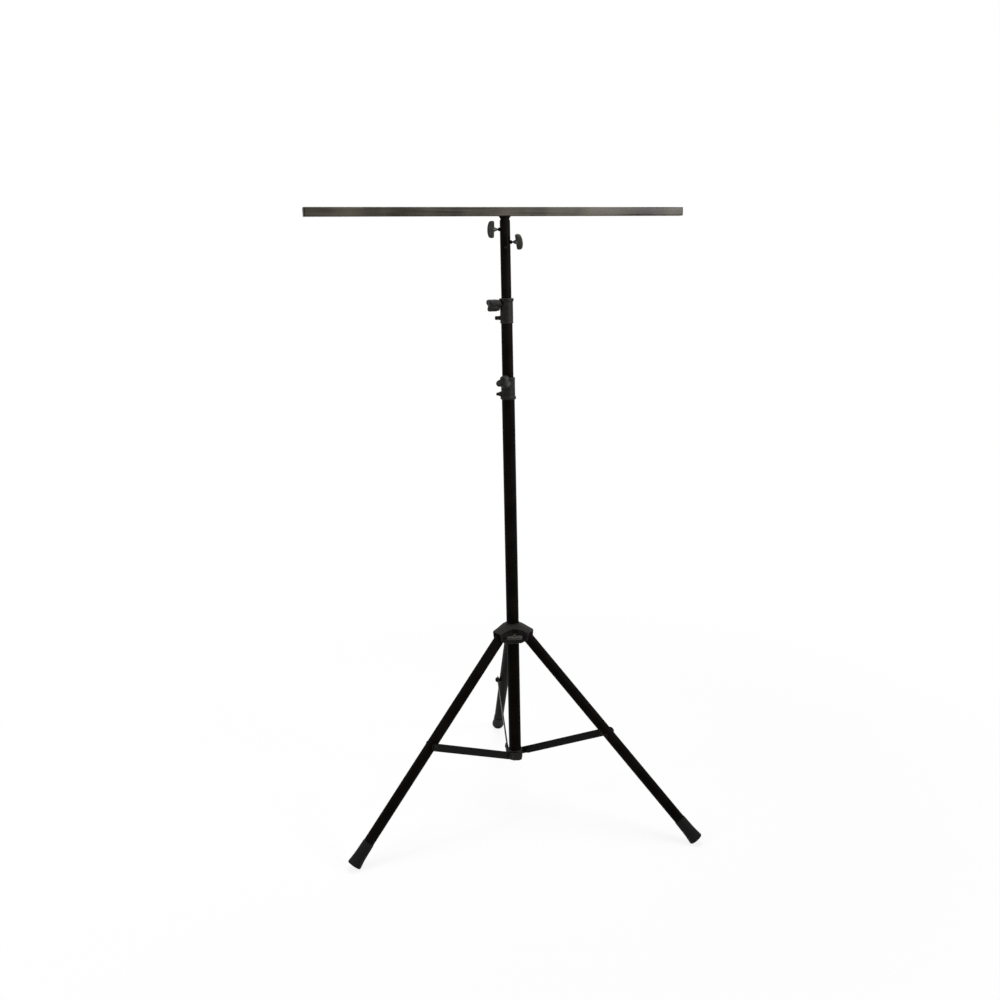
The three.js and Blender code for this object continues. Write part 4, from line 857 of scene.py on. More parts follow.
def guide(node, stem, flange):
    low, high = foot_of(node), top_of(node)
    hole = stem - GUIDE_WALL
    flange_top = low + GUIDE_FLANGE_HEIGHT
    return spun([
        (hole, low, 0.4 * MM), (flange, low, 0.8 * MM), (flange, flange_top, 0.3 * MM), (stem, flange_top),
        (stem, high, 0.5 * MM), (hole, high, 0.4 * MM),
    ], SMALL)


for node, tube_radius in (("top_tube_guide", TOP_TUBE_RADIUS), ("middle_tube_guide", MIDDLE_TUBE_RADIUS)):
    plug = guide(node, tube_radius - TUBE_WALL - CLEARANCE, radius_of(node))
    fitted(node, plug, on_mast(0), "black_plastic")

# %% [markdown]
# ## Screws with real threads
# A thread is a ridge that climbs one pitch in each turn. Its shape follows a rule, so it is
# made with Geometry Nodes: a plain cylinder, whose points are drawn in by a wave of height
# and angle together. Towards both ends the thread runs out into a chamfer.

# %% Geometry Nodes helper
class Shaper(Tree):
    """A Geometry Nodes tree. Its inputs are found by their names, as in tree["Radius"]."""

    def __init__(self, name, **inputs):
        super().__init__(bpy.data.node_groups.new(name, "GeometryNodeTree"))
        face = self.tree.interface
        face.new_socket("Geometry", in_out="INPUT", socket_type="NodeSocketGeometry")
        for label, default in inputs.items():
            kind = "NodeSocketInt" if isinstance(default, int) else "NodeSocketFloat"
            face.new_socket(label, in_out="INPUT", socket_type=kind).default_value = default
        face.new_socket("Geometry", in_out="OUTPUT", socket_type="NodeSocketGeometry")
        self.entry = self.tree.nodes.new("NodeGroupInput")

    def __getitem__(self, label):
        return Wire(self, self.entry.outputs[label])

    def places(self):
        """Where each point is, as three wires."""
        parts = self.node("ShaderNodeSeparateXYZ", [self.node("GeometryNodeInputPosition")])
        return [parts.out(axis) for axis in "XYZ"]

    def reshaped(self, geometry, place, slot):
        """Gives every point a new place of three wires, and then the finish."""
        values = {"Geometry": geometry, "Position": self.node("ShaderNodeCombineXYZ", place)}
        return self.finish(self.node("GeometryNodeSetPosition", values), slot)

    def finish(self, geometry, slot):
        real = self.node("GeometryNodeRealizeInstances", {"Geometry": geometry})
        painted = self.node("GeometryNodeSetMaterial", {"Geometry": real, "Material": FINISHES[slot]})
        end = self.tree.nodes.new("NodeGroupOutput")
        self.feed(end.inputs["Geometry"], painted)
        return self

    def grown(self, mesh=None, **values):
        """Runs the tree on a mesh, or on nothing, and gives back a plain mesh."""
        body = on_bench(mesh or bpy.data.meshes.new("seed"))
        modifier = body.modifiers.new("grown", "NODES")
        modifier.node_group = self.tree
        for item in self.tree.interface.items_tree:
            if item.item_type == "SOCKET" and item.in_out == "INPUT" and item.name in values:
                modifier[item.identifier] = values[item.name]
        return settled(body)


# %% The thread
def thread_tree():
    tree = Shaper("thread", Length=0.02, Radius=0.003, Pitch=0.001, Depth=0.0005, Rings=64)
    blank = tree.node("GeometryNodeMeshCylinder", {
        "Vertices": 40, "Side Segments": tree["Rings"], "Fill Segments": 1,
        "Radius": tree["Radius"], "Depth": tree["Length"],
    }, fill_type="TRIANGLE_FAN")
    x, y, z = tree.places()
    turn = x.maths("ARCTAN2", y, x) / (2 * pi)
    # The added number keeps the count of turns above zero all along the thread
    wave = x.maths("PINGPONG", z / tree["Pitch"] - turn + 1000.0, 0.5) * 2
    from_end = tree["Length"] / 2 - x.maths("ABSOLUTE", z)
    run_out = (1 - from_end / tree["Pitch"]).clamped()
    drawn_in = tree["Depth"] * x.maths("MAXIMUM", wave, run_out)
    shrink = 1 - drawn_in / tree["Radius"]
    return tree.reshaped(blank, [x * shrink, y * shrink, z], "zinc_steel")


THREAD = thread_tree()
RINGS_PER_PITCH = 8


def threaded(radius, start, end, pitch):
    length = end - start
    mesh = THREAD.grown(
        Length=length, Radius=radius, Pitch=pitch, Depth=pitch * 0.55,
        Rings=int(length / pitch * RINGS_PER_PITCH),
    )
    return moved(mesh, shift(z=(start + end) / 2))


# %% [markdown]
# ## Weld under the bar
# The spigot is welded to the bar by hand. Such a seam is a row of overlapping drops of metal,
# each a little larger or smaller than the last. A circle of points carries the drops,
# and a seeded random value gives each its size.

# %% The weld
def weld_tree():
    tree = Shaper("weld", Radius=0.0163, Drop=0.0014, Reach=0.87, Drops=26)
    seam = tree.node("GeometryNodeCurveArc", {
        "Resolution": tree["Drops"], "Radius": tree["Radius"],
        "Start Angle": -1 * tree["Reach"], "Sweep Angle": 2 * tree["Reach"],
    }, mode="RADIUS")
    drop = tree.node("GeometryNodeMeshIcoSphere", {"Radius": tree["Drop"], "Subdivisions": 2})
    size = tree.node("FunctionNodeRandomValue", {2: 0.8, 3: 1.15, "Seed": 7}, 1, data_type="FLOAT")
    drops = tree.node("GeometryNodeInstanceOnPoints", {"Points": seam, "Instance": drop, "Scale": size})
    return tree.finish(drops, "black_powder_coat")


WELD = weld_tree()
WELD_DROP = 1.4 * MM
for side, turn in (("left", pi), ("right", 0)):
    seam = WELD.grown(Drop=WELD_DROP)
    place = on_mast(top_of("t_bar_spigot") - WELD_DROP * 0.7, BAR_TURN + turn)
    fitted("t_bar_tube", seam, place, "black_powder_coat", f"t_bar_weld_{side}")

# %% [markdown]
# ## T-shaped hand screws
# The head is a die casting: a wing that is flat towards the mast and bowed outwards, on a flared stem.
# The wing is skinned over rounded sections that grow and shrink along its span,
# the stem is turned, and the voxel skin melts them together.

# %% T-head
HEAD_SPAN = 52 * MM
HEAD_DEPTH = 21 * MM
HEAD_END_DEPTH = 15 * MM
HEAD_THICKNESS = 12 * MM
HEAD_ROUND = 5 * MM
STEM_LENGTH = 9 * MM
STEM_FOOT = 4 * MM
STEM_TOP = 8.5 * MM
HEAD_SECTIONS = 60
HEAD_AROUND = 48
# The screw's hole ends this far past the stem
HEAD_HOLE = HEAD_DEPTH / 2 - 2.5 * MM
SQUARENESS = 2.6


def t_wing():
    half = HEAD_SPAN / 2
    rings = []
    for step in range(1, HEAD_SECTIONS):
        # Sections crowd together near the ends, where the wing closes
        z = -half * cos(pi * step / HEAD_SECTIONS)
        from_end = half - abs(z)
        inset = 0.0
        if from_end < HEAD_ROUND:
            inset = HEAD_ROUND - sqrt(HEAD_ROUND ** 2 - (HEAD_ROUND - from_end) ** 2)
        bow = 1 - (abs(z) / half) ** 2.4
        outer = HEAD_END_DEPTH + (HEAD_DEPTH - HEAD_END_DEPTH) * bow - inset
        inner = inset * 0.8
        middle, reach = (outer + inner) / 2, (outer - inner) / 2
        thick = HEAD_THICKNESS / 2 - inset
        ring = []
        for turn in range(HEAD_AROUND):
            angle = 2 * pi * turn / HEAD_AROUND
            outward, sideways = [
                copysign(abs(value) ** (2 / SQUARENESS), value) for value in (cos(angle), sin(angle))
            ]
            ring.append((STEM_LENGTH + middle + reach * outward, thick * sideways, z))
        rings.append(ring)
    return loft(rings)


def t_head():
    stem = moved(spun([
        (0, 0), (STEM_FOOT, 0, 0.6 * MM), (STEM_FOOT, STEM_LENGTH * 0.3, 2 * MM),
        (STEM_TOP * 0.75, STEM_LENGTH * 0.8, 4 * MM), (STEM_TOP, STEM_LENGTH + 3 * MM),
        (0, STEM_LENGTH + 9 * MM),
    ], SMALL), ALONG_X)
    head = cast(join(t_wing(), stem), voxel=0.55 * MM, smoothing=5)
    hole = drill(T_SCREW_HOLE, -2 * MM, STEM_LENGTH + HEAD_HOLE, ALONG_X)
    return cut(head, hole)


T_SCREW_RADIUS = 3 * MM
T_SCREW_PITCH = 1 * MM
T_SCREW_SHOWN = 3.5 * MM
HUB_SCREW_SHOWN = 5.5 * MM


def hand_screw(name, place, tip, foot):
    """A T-head and its stud, on a place whose X runs out along the screw."""
    fitted(f"{name}_head", t_head(), place @ shift(foot), "knob_metal")
    end = foot + STEM_LENGTH + HEAD_HOLE - CLEARANCE
    screw = threaded(T_SCREW_RADIUS, tip, end, T_SCREW_PITCH)
    fitted(f"{name}_screw", screw, place @ ALONG_X, "black_steel")


T_TILTS = {"upper": radians(-22), "lower": radians(35)}
for which, place in SOCKET_PLACES.items():
    hand_screw(
        f"t_knob_{which}", place @ spin(T_TILTS[which], "X"),
        SPIGOT_RADIUS + CLEARANCE, TOP_TUBE_RADIUS + SOCKET_NUT_HEIGHT + T_SCREW_SHOWN,
    )

# %% [markdown]
# ## Clamp collars
# Each collar is a cast sleeve round two tubes, with a round boss for the clamp knob's screw
# and a smaller one for the sprung lock pin. The sleeve is turned, the bosses are added,
# the voxel skin makes the fillets, and then the bores are cut.

# %% Collars
CLAMP_NECK = 26 * MM
CLAMPS = {
    "upper": {
        "height": 75, "wall": 2.4, "rim": (9, 4.7), "lip": (3, 2.8), "grooves": (68.5, 52),
        "outer": MIDDLE_TUBE_RADIUS, "inner": TOP_TUBE_RADIUS, "knob_turn": radians(30),
        "pin_boss": 6.75, "pin_cap": (6, 8, 3),
    },
    "lower": {
        "height": 67, "wall": 1.8, "rim": (4, 2.2), "lip": (8, 4.2), "grooves": (41, 27),
        "outer": MAIN_TUBE_RADIUS, "inner": MIDDLE_TUBE_RADIUS, "knob_turn": radians(77),
        "pin_boss": 8.5, "pin_cap": (4.75, 6.5, 4),
    },
}
GROOVE_WIDTH = 2.2 * MM
GROOVE_DEPTH = 0.9 * MM
KNOB_BOSS_RADIUS = 10 * MM
KNOB_BOSS_HEIGHT = 5 * MM
PIN_BOSS_TIP = 6 * MM
# How far the pin's boss stands off the outer tube, its end wall included
PIN_BOSS_LENGTH = 10.4 * MM
PIN_BOSS_WALL = 1.6 * MM
SPRING_BORE = 4.3 * MM
DRILL_START = 2 * MM


def collar_outline(clamp, bore):
    height = clamp["height"] * MM
    wall = clamp["outer"] + clamp["wall"] * MM
    rim_height, rim = clamp["rim"][0] * MM, clamp["outer"] + clamp["rim"][1] * MM
    lip_height, lip = clamp["lip"][0] * MM, clamp["outer"] + clamp["lip"][1] * MM
    points = [(bore, -height), (lip, -height, 0.8 * MM), (lip, lip_height - height, 0.8 * MM)]
    points.append((wall, lip_height + 1 * MM - height, 0.8 * MM))
    for drop in clamp["grooves"]:
        points += [
            (wall, -drop * MM - GROOVE_WIDTH / 2, 0.4 * MM), (wall - GROOVE_DEPTH, -drop * MM, 0.4 * MM),
            (wall, -drop * MM + GROOVE_WIDTH / 2, 0.4 * MM),
        ]
    return points + [
        (wall, -rim_height - 1 * MM, 0.8 * MM), (rim, -rim_height, 0.8 * MM), (rim, 0, 1 * MM), (bore, 0),
    ]


def clamp_place(which):
    return on_mast(top_of(f"{which}_clamp_collar"))


def in_collar(which, place):
    """A place given in the frame, seen from the collar's own top."""
    return clamp_place(which).inverted() @ place


def collar(which, clamp):
    bore = clamp["outer"] + CLEARANCE
    neck = clamp["inner"] + CLEARANCE
    height = clamp["height"] * MM
    knob_end = clamp["outer"] + clamp["rim"][1] * MM + KNOB_BOSS_HEIGHT
    pin_end = clamp["outer"] + PIN_BOSS_LENGTH
    pin_boss_foot = clamp["pin_boss"] * MM
    knob_axis = in_collar(which, handle_place(f"{which}_knob_turn")) @ ALONG_X
    pin_axis = in_collar(which, pin_place(which)) @ ALONG_X
    sleeve = spun(collar_outline(clamp, neck - 2 * MM), FINE)
    root = neck - 1 * MM
    knob_boss = spun([
        (0, root), (KNOB_BOSS_RADIUS, root), (KNOB_BOSS_RADIUS, knob_end, 1 * MM), (0, knob_end),
    ], SMALL)
    pin_boss = spun([
        (0, root), (pin_boss_foot, root), (pin_boss_foot, clamp["outer"]),
        (PIN_BOSS_TIP, pin_end, 1.2 * MM), (0, pin_end),
    ], SMALL)
    body = join(sleeve, moved(knob_boss, knob_axis), moved(pin_boss, pin_axis))
    body = cast(body, voxel=0.7 * MM, smoothing=4)
    return cut(
        body, reamer(bore, -height - OVERRUN, -CLAMP_NECK), reamer(neck, -height - OVERRUN, OVERRUN),
        drill(SPRING_BORE, DRILL_START, knob_end + OVERRUN, knob_axis),
        drill(SPRING_BORE, DRILL_START, pin_end - PIN_BOSS_WALL, pin_axis),
        drill(PIN_HOLE_RADIUS, DRILL_START, pin_end + OVERRUN, pin_axis),
    )


for which, clamp in CLAMPS.items():
    fitted(f"{which}_clamp_collar", collar(which, clamp), clamp_place(which), "cast_black")

# %% [markdown]
# ## Lobed clamp knobs
# The knob is moulded plastic with three full lobes and a narrow notch between each two.
# They follow a rule: the further out a point lies, the more a wave of the angle pulls it in.
# Geometry Nodes apply that wave to a turned blank. Raising the wave to a power below one
# keeps the lobes full and makes the notches narrow.

# %% Knobs
def lobes_tree():
    tree = Shaper(
        "lobes", Lobes=3, Depth=0.0085, Fullness=0.6, Rise=2.0, Reach=0.0205, Length=0.0325, Fork=0.008,
    )
    x, y, z = tree.places()
    angle = x.maths("ARCTAN2", y, x)
    wave = 0.5 + x.maths("COSINE", angle * tree["Lobes"]) * 0.5
    outward = x.maths("SQRT", x * x + y * y) / tree["Reach"]
    notch = 1 - wave.clamped() ** tree["Fullness"]
    left = 1 - tree["Depth"] / tree["Reach"] * notch * outward ** tree["Rise"]
    near_end = (z / tree["Length"] * 2 - 1).clamped() ** 2.0
    sunk = tree["Fork"] * near_end * notch * outward.clamped()
    return tree.reshaped(tree["Geometry"], [x * left, y * left, z - sunk], "knob_plastic")


LOBES = lobes_tree()
KNOB_AROUND, KNOB_ARC = 180, 10
KNOB_RADIUS = 20.5 * MM
KNOB_LENGTH = 32.5 * MM
KNOB_FOOT_RADIUS = 19 * MM
KNOB_FOOT_LENGTH = 3 * MM
KNOB_SHOULDER = 1.2 * MM
KNOB_SKIRT = 3.8 * MM
KNOB_SKIRT_BORE = 12 * MM
KNOB_NOSE = 9.5 * MM
KNOB_DISH_RADIUS = 9 * MM
KNOB_DISH_DEPTH = 2 * MM
KNOB_SCREW_RADIUS = 4 * MM
KNOB_SCREW_GRIP = 18 * MM


def clamp_knob():
    blank = spun([
        (0, 0), (KNOB_SKIRT_BORE, 0), (KNOB_SKIRT_BORE, -KNOB_SKIRT, 0.4 * MM),
        (KNOB_FOOT_RADIUS, -KNOB_SKIRT, 0.8 * MM), (KNOB_FOOT_RADIUS, KNOB_FOOT_LENGTH, 0.5 * MM),
        (KNOB_RADIUS, KNOB_FOOT_LENGTH, KNOB_SHOULDER), (KNOB_RADIUS, KNOB_LENGTH / 2),
        (KNOB_RADIUS, KNOB_LENGTH, KNOB_NOSE), (KNOB_DISH_RADIUS + 1 * MM, KNOB_LENGTH, 0.6 * MM),
        (KNOB_DISH_RADIUS, KNOB_LENGTH - KNOB_DISH_DEPTH, 0.8 * MM), (0, KNOB_LENGTH - KNOB_DISH_DEPTH),
    ], KNOB_AROUND, KNOB_ARC)
    knob = LOBES.grown(blank, Reach=KNOB_RADIUS, Length=KNOB_LENGTH)
    return cut(knob, rod(KNOB_SCREW_RADIUS + CLEARANCE, -2 * MM, KNOB_SCREW_GRIP))


for which, clamp in CLAMPS.items():
    foot = clamp["outer"] + clamp["rim"][1] * MM + KNOB_BOSS_HEIGHT + CLEARANCE
    place = handle_place(f"{which}_knob_turn") @ ALONG_X
    # A quarter turn more, because the lathe counts its angles from another side than the knob
    turned_knob = moved(clamp_knob(), spin(clamp["knob_turn"] + pi / 2))
    fitted(f"{which}_clamp_knob", turned_knob, place @ shift(z=foot), "knob_plastic")
    tip = clamp["inner"] + CLEARANCE
    screw = threaded(KNOB_SCREW_RADIUS, tip, foot + KNOB_SCREW_GRIP - CLEARANCE, 1.25 * MM)
    fitted(f"{which}_clamp_screw", screw, place, "zinc_steel")

# %% [markdown]
# ## Lock pins and their springs
# Below each knob a sprung pin drops into a hole of the inner tube, so the mast can't fall if
# the knob slips. The spring is a helix: Geometry Nodes sweep a wire along a spiral.
# On the real stand, pulling the pin squeezes the spring between the pin's flange and the boss. The coil
# here keeps one shape.

# %% Pins and springs
PIN_RADIUS = 2.5 * MM
PIN_FLANGE_RADIUS = 4 * MM
PIN_FLANGE_THICKNESS = 1.4 * MM
PIN_TRAVEL = 3 * MM
SPRING_WIRE = 0.4 * MM
SPRING_TURNS = 3.0
SPRING_LENGTH = PIN_TRAVEL + 2 * SPRING_WIRE * (SPRING_TURNS + 1)


def spring_tree():
    tree = Shaper("spring", Turns=3.0, Radius=0.003, Wire=0.0004, Height=0.005)
    spiral = tree.node("GeometryNodeCurveSpiral", {
        "Resolution": 32, "Rotations": tree["Turns"], "Start Radius": tree["Radius"],
        "End Radius": tree["Radius"], "Height": tree["Height"],
    })
    circle = tree.node("GeometryNodeCurvePrimitiveCircle", {"Resolution": 10, "Radius": tree["Wire"]})
    swept = {"Curve": spiral, "Profile Curve": circle, "Fill Caps": True}
    wire = tree.node("GeometryNodeCurveToMesh", swept)
    return tree.finish(wire, "zinc_steel")


SPRING = spring_tree()
for which, clamp in CLAMPS.items():
    flange = clamp["outer"] + 2 * CLEARANCE
    flange_top = flange + PIN_FLANGE_THICKNESS
    boss_end = flange_top + SPRING_LENGTH + 2 * CLEARANCE + PIN_BOSS_WALL
    cap = boss_end + CLEARANCE
    cap_radius, cap_length, cap_round = (size * MM for size in clamp["pin_cap"])
    cap_top = cap + cap_length
    tip = clamp["inner"] + CLEARANCE
    pin = spun([
        (0, tip), (PIN_RADIUS, tip, 0.6 * MM), (PIN_RADIUS, flange), (PIN_FLANGE_RADIUS, flange),
        (PIN_FLANGE_RADIUS, flange_top), (PIN_RADIUS, flange_top), (PIN_RADIUS, cap),
        (cap_radius, cap, 0.5 * MM), (cap_radius, cap_top, cap_round), (0, cap_top),
    ], SMALL, FINE_ARC)
    place = pin_place(which) @ ALONG_X
    fitted(f"{which}_lock_pin", pin, place, "black_steel")
    coil = SPRING.grown(
        Turns=SPRING_TURNS, Radius=(PIN_RADIUS + PIN_FLANGE_RADIUS) / 2 + SPRING_WIRE / 2, Wire=SPRING_WIRE,
        Height=SPRING_LENGTH - 2 * SPRING_WIRE - CLEARANCE,
    )
    coil = moved(coil, shift(z=flange_top + CLEARANCE + SPRING_WIRE))
    spring = fitted(f"{which}_lock_spring", coil, place, "zinc_steel")
    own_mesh(spring)

# %% [markdown]
# ## Hub casting
# The hub is the piece that takes most skill: a star-shaped roof with hollow sides, a barrel
# round the mast and three pairs of cheeks that hold the legs' pivots.
# The roof is a turned cap cut to the star's outline. Slots for the legs are cut out of solid arms.

# %% Hub
LEG_RADIUS = 17 * MM
PIVOT_HOLE = 3.6 * MM
STRUT_HOLE = 4.6 * MM
LEG_CLEARANCE = 0.6 * MM
CHEEK = 4.5 * MM
HUB_HALF = LEG_RADIUS + LEG_CLEARANCE + CHEEK
HUB_SLOT_HALF = LEG_RADIUS + LEG_CLEARANCE
HUB_BORE = MAIN_TUBE_RADIUS + 1.8 * MM
# The rough solids start inside the bore, which is cut last
HUB_CORE = HUB_BORE - 2 * MM
BARREL_RADIUS = 27 * MM
BARREL_DROP = 25 * MM
HUB_BOSS_RADIUS = 8 * MM
HUB_BOSS_END = BARREL_RADIUS + 4 * MM
NECK_RISE = 39 * MM
NECK_RADIUS = 23 * MM
ROOF_RISE = 34.5 * MM
ROOF_INNER = 30 * MM
ROOF_EDGE_RISE = 19.5 * MM
ROOF_EDGE = 64 * MM
ROOF_THICKNESS = 4 * MM
ROOF_ARC = 75 * MM
PIVOT_RADIUS = (joint_point("leg_1_fold") - MAST).xy.length
CHEEK_DROP = 20 * MM
CHEEK_NOSE = 12.5 * MM
CHEEK_LIP = 5 * MM
LEG_TURNS = [index * 2 * pi / 3 for index in range(3)]
HUB_AZIMUTH = azimuth_of(joint_point("leg_1_fold") - MAST)
HUB_PLACE = on_mast(joint_point("leg_1_fold").z, HUB_AZIMUTH)
HUB_SCREW_PLACE = handle_place("hub_knob_turn")
HUB_SCREW_AXIS = HUB_PLACE.inverted() @ HUB_SCREW_PLACE @ ALONG_X


def arc(centre, radius, start, end, steps=24):
    return [
        (centre[0] + radius * cos(start + (end - start) * step / steps),
         centre[1] + radius * sin(start + (end - start) * step / steps))
        for step in range(steps + 1)
    ]


def roof_rise(radius):
    slope = (ROOF_EDGE_RISE - ROOF_RISE) / (ROOF_EDGE - ROOF_INNER)
    return ROOF_RISE + slope * (radius - ROOF_INNER)


def roof_underside(radius):
    return roof_rise(radius) - ROOF_THICKNESS


def star_outline():
    """Three arms with straight ends, joined by arcs that bow inwards."""
    distance = (HUB_HALF + ROOF_ARC) / sin(pi / 3)
    arm_end = ROOF_EDGE + 4 * MM
    points = []
    for along in LEG_TURNS:
        bisector = along + pi / 3
        for y in (-HUB_HALF, HUB_HALF):
            points.append((spin(along) @ Vector((arm_end, y, 0))).xy)
        centre = (distance * cos(bisector), distance * sin(bisector))
        points += arc(centre, ROOF_ARC, bisector + pi * 7 / 6, bisector + pi * 5 / 6)
    return points


def hub_roof():
    outer, corner = ROOF_EDGE, 1.5 * MM
    cap = spun([
        (HUB_CORE, roof_underside(NECK_RADIUS)), (outer + corner, roof_underside(outer), 1.2 * MM),
        (outer + corner, roof_rise(outer), 1.5 * MM), (ROOF_INNER, ROOF_RISE, 3 * MM),
        (NECK_RADIUS, NECK_RISE, 1 * MM), (HUB_CORE, NECK_RISE),
    ], FINE)
    return shared_by(cap, prism(star_outline(), -2 * MM, NECK_RISE + 4 * MM))


def hub_arm(turn):
    edge_rise = roof_rise(ROOF_EDGE) - ROOF_THICKNESS / 2
    nose = arc((PIVOT_RADIUS, 0), CHEEK_NOSE, 0, -pi / 2, 16)
    side = [
        (HUB_CORE, -CHEEK_DROP), (HUB_CORE, roof_rise(HUB_CORE) - ROOF_THICKNESS / 2),
        (ROOF_EDGE, edge_rise), (ROOF_EDGE, edge_rise - CHEEK_LIP), *nose,
        (PIVOT_RADIUS - CHEEK_NOSE, -CHEEK_DROP),
    ]
    return turned(facing_y(prism(side, -HUB_HALF, HUB_HALF)), turn)


def leg_slot(turn):
    outer = ROOF_EDGE + PIVOT_RADIUS
    side = [
        (BARREL_RADIUS, -2 * CHEEK_DROP), (BARREL_RADIUS, roof_underside(BARREL_RADIUS)),
        (outer, roof_underside(outer)), (outer, -2 * CHEEK_DROP),
    ]
    return turned(facing_y(prism(side, -HUB_SLOT_HALF, HUB_SLOT_HALF)), turn)


def hub_casting():
    barrel = spun([
        (HUB_CORE, -BARREL_DROP), (BARREL_RADIUS, -BARREL_DROP, 1.2 * MM),
        (BARREL_RADIUS, roof_rise(BARREL_RADIUS) - 1 * MM), (HUB_CORE, roof_rise(BARREL_RADIUS) - 1 * MM),
    ])
    boss = moved(rod(HUB_BOSS_RADIUS, HUB_BORE, HUB_BOSS_END, 1 * MM), HUB_SCREW_AXIS)
    body = join(hub_roof(), *[hub_arm(turn) for turn in LEG_TURNS])
    body = cut(body, *[leg_slot(turn) for turn in LEG_TURNS])
    body = cast(join(body, barrel, boss), voxel=1.0 * MM, smoothing=4)
    reach = HUB_HALF + 3 * MM
    drills = [
        turned(drill(PIVOT_HOLE, -reach, reach, shift(PIVOT_RADIUS) @ ALONG_Y), turn)
        for turn in LEG_TURNS
    ]
    bore = reamer(HUB_BORE, -BARREL_DROP - OVERRUN, NECK_RISE + OVERRUN)
    screw_hole = drill(T_SCREW_HOLE, 5 * MM, BARREL_RADIUS + 10 * MM, HUB_SCREW_AXIS)
    return cut(body, bore, screw_hole, *drills)


fitted("hub_casting", hub_casting(), HUB_PLACE, "cast_black")

# %% Hub liner and hand screw
LINER_WALL = 1.2 * MM
LINER_RIM = 2 * MM


def hub_liner():
    inner = MAIN_TUBE_RADIUS + CLEARANCE
    outer = inner + LINER_WALL
    top = NECK_RISE + CLEARANCE
    return spun([
        (inner, -BARREL_DROP, 0.3 * MM), (outer, -BARREL_DROP, 0.3 * MM), (outer, top),
        (NECK_RADIUS - CLEARANCE, top, 0.3 * MM), (NECK_RADIUS - 0.8 * MM, top + LINER_RIM, 0.7 * MM),
        (inner, top + LINER_RIM, 0.5 * MM),
    ])


liner_hole = drill(T_SCREW_HOLE, 10 * MM, 25 * MM, HUB_SCREW_AXIS)
fitted("hub_liner", cut(hub_liner(), liner_hole), HUB_PLACE, "black_plastic")
hand_screw(
    "hub_knob", HUB_SCREW_PLACE @ spin(pi / 2, "X"),
    MAIN_TUBE_RADIUS + CLEARANCE, HUB_BOSS_END + HUB_SCREW_SHOWN,
)

# %% [markdown]
# ## Cup at the mast's foot
# A cast cup closes the tube's foot and has an ear beside each strut.

# %% Cup
CUP_RADIUS = 24.5 * MM
CUP_HEIGHT = 36 * MM
CUP_FLOOR = 4 * MM
CUP_ROUND = 8 * MM
CUP_SCREW_LENGTH = 10.8 * MM
STRUT_THICKNESS = 3 * MM
STRUT_INNER_FACE = LEG_RADIUS + 4.0 * MM
STRUT_OUTER_FACE = STRUT_INNER_FACE + STRUT_THICKNESS
EAR_INNER_FACE = STRUT_OUTER_FACE + CLEARANCE
EAR_THICKNESS = 4 * MM
EAR_OUTER_FACE = EAR_INNER_FACE + EAR_THICKNESS
EAR_NOSE = 11.5 * MM
EAR_ROOT = 15 * MM
EAR_ROOT_LOW = 4 * MM
EAR_ROOT_HIGH = 22 * MM
EAR_DOME = 6 * MM
EAR_DOME_HEIGHT = 2.4 * MM
CUP_PLACE = on_mast(foot_of("base_cup"), HUB_AZIMUTH)
CUP_PIN_RISE = 28 * MM
CUP_PIN_RADIUS = 35 * MM
strut_joint = CUP_PLACE.inverted() @ joint_point("strut_1_fold")
STRUT_SLOPE = atan2(strut_joint.z - CUP_PIN_RISE, strut_joint.x - CUP_PIN_RADIUS)


def cup_ear(turn):
    """A plate in the strut's line with a round nose at the pin, a thick root, and the pin's button."""
    back = -EAR_ROOT / 2
    nose = arc((CUP_PIN_RADIUS, CUP_PIN_RISE), EAR_NOSE, STRUT_SLOPE - pi / 2, STRUT_SLOPE + pi / 2)
    fall = tan(STRUT_SLOPE)
    under, over = nose[0], nose[-1]
    under_foot = (under[0] - (under[1] - EAR_ROOT_LOW) / fall, EAR_ROOT_LOW)
    side = [(back, EAR_ROOT_LOW), under_foot, *nose, (back, over[1] - (over[0] - back) * fall)]
    plate = prism(side, -EAR_OUTER_FACE, -EAR_INNER_FACE)
    root = prism([
        (back - EAR_THICKNESS, 0), (EAR_ROOT / 2, 0), (EAR_ROOT / 2, EAR_OUTER_FACE - 1 * MM),
        (back, EAR_OUTER_FACE - 1 * MM), (back - EAR_THICKNESS, EAR_INNER_FACE - EAR_THICKNESS),
    ], EAR_ROOT_LOW, EAR_ROOT_HIGH)
    foot, dome = EAR_INNER_FACE + 1 * MM, EAR_OUTER_FACE + EAR_DOME_HEIGHT
    button = spun([
        (0, foot), (EAR_DOME, foot), (EAR_DOME, EAR_OUTER_FACE + 1 * MM, 1.5 * MM),
        (EAR_DOME * 0.4, dome, 2 * MM), (0, dome),
    ], TINY)
    button = moved(button, shift(CUP_PIN_RADIUS, 0, CUP_PIN_RISE) @ ALONG_Y)
    return [turned(mesh, turn) for mesh in (facing_y(plate), root, button)]


def mast_cup():
    cup = spun([
        (0, 0), (CUP_RADIUS, 0, CUP_ROUND), (CUP_RADIUS, CUP_HEIGHT, 0.9 * MM), (0, CUP_HEIGHT),
    ], FINE, FINE_ARC)
    ears = [mesh for turn in LEG_TURNS for mesh in cup_ear(turn)]
    body = cast(join(cup, *ears), voxel=0.8 * MM, smoothing=3)
    screw_axis = CUP_PLACE.inverted() @ CUP_SCREW_PLACE @ ALONG_X
    return cut(
        body, reamer(MAIN_TUBE_RADIUS + CLEARANCE, CUP_FLOOR, CUP_HEIGHT + OVERRUN),
        drill(PIN_HOLE_RADIUS, 10 * MM, CUP_RADIUS + OVERRUN, screw_axis),
    )


fitted("base_cup", mast_cup(), CUP_PLACE, "cast_black")


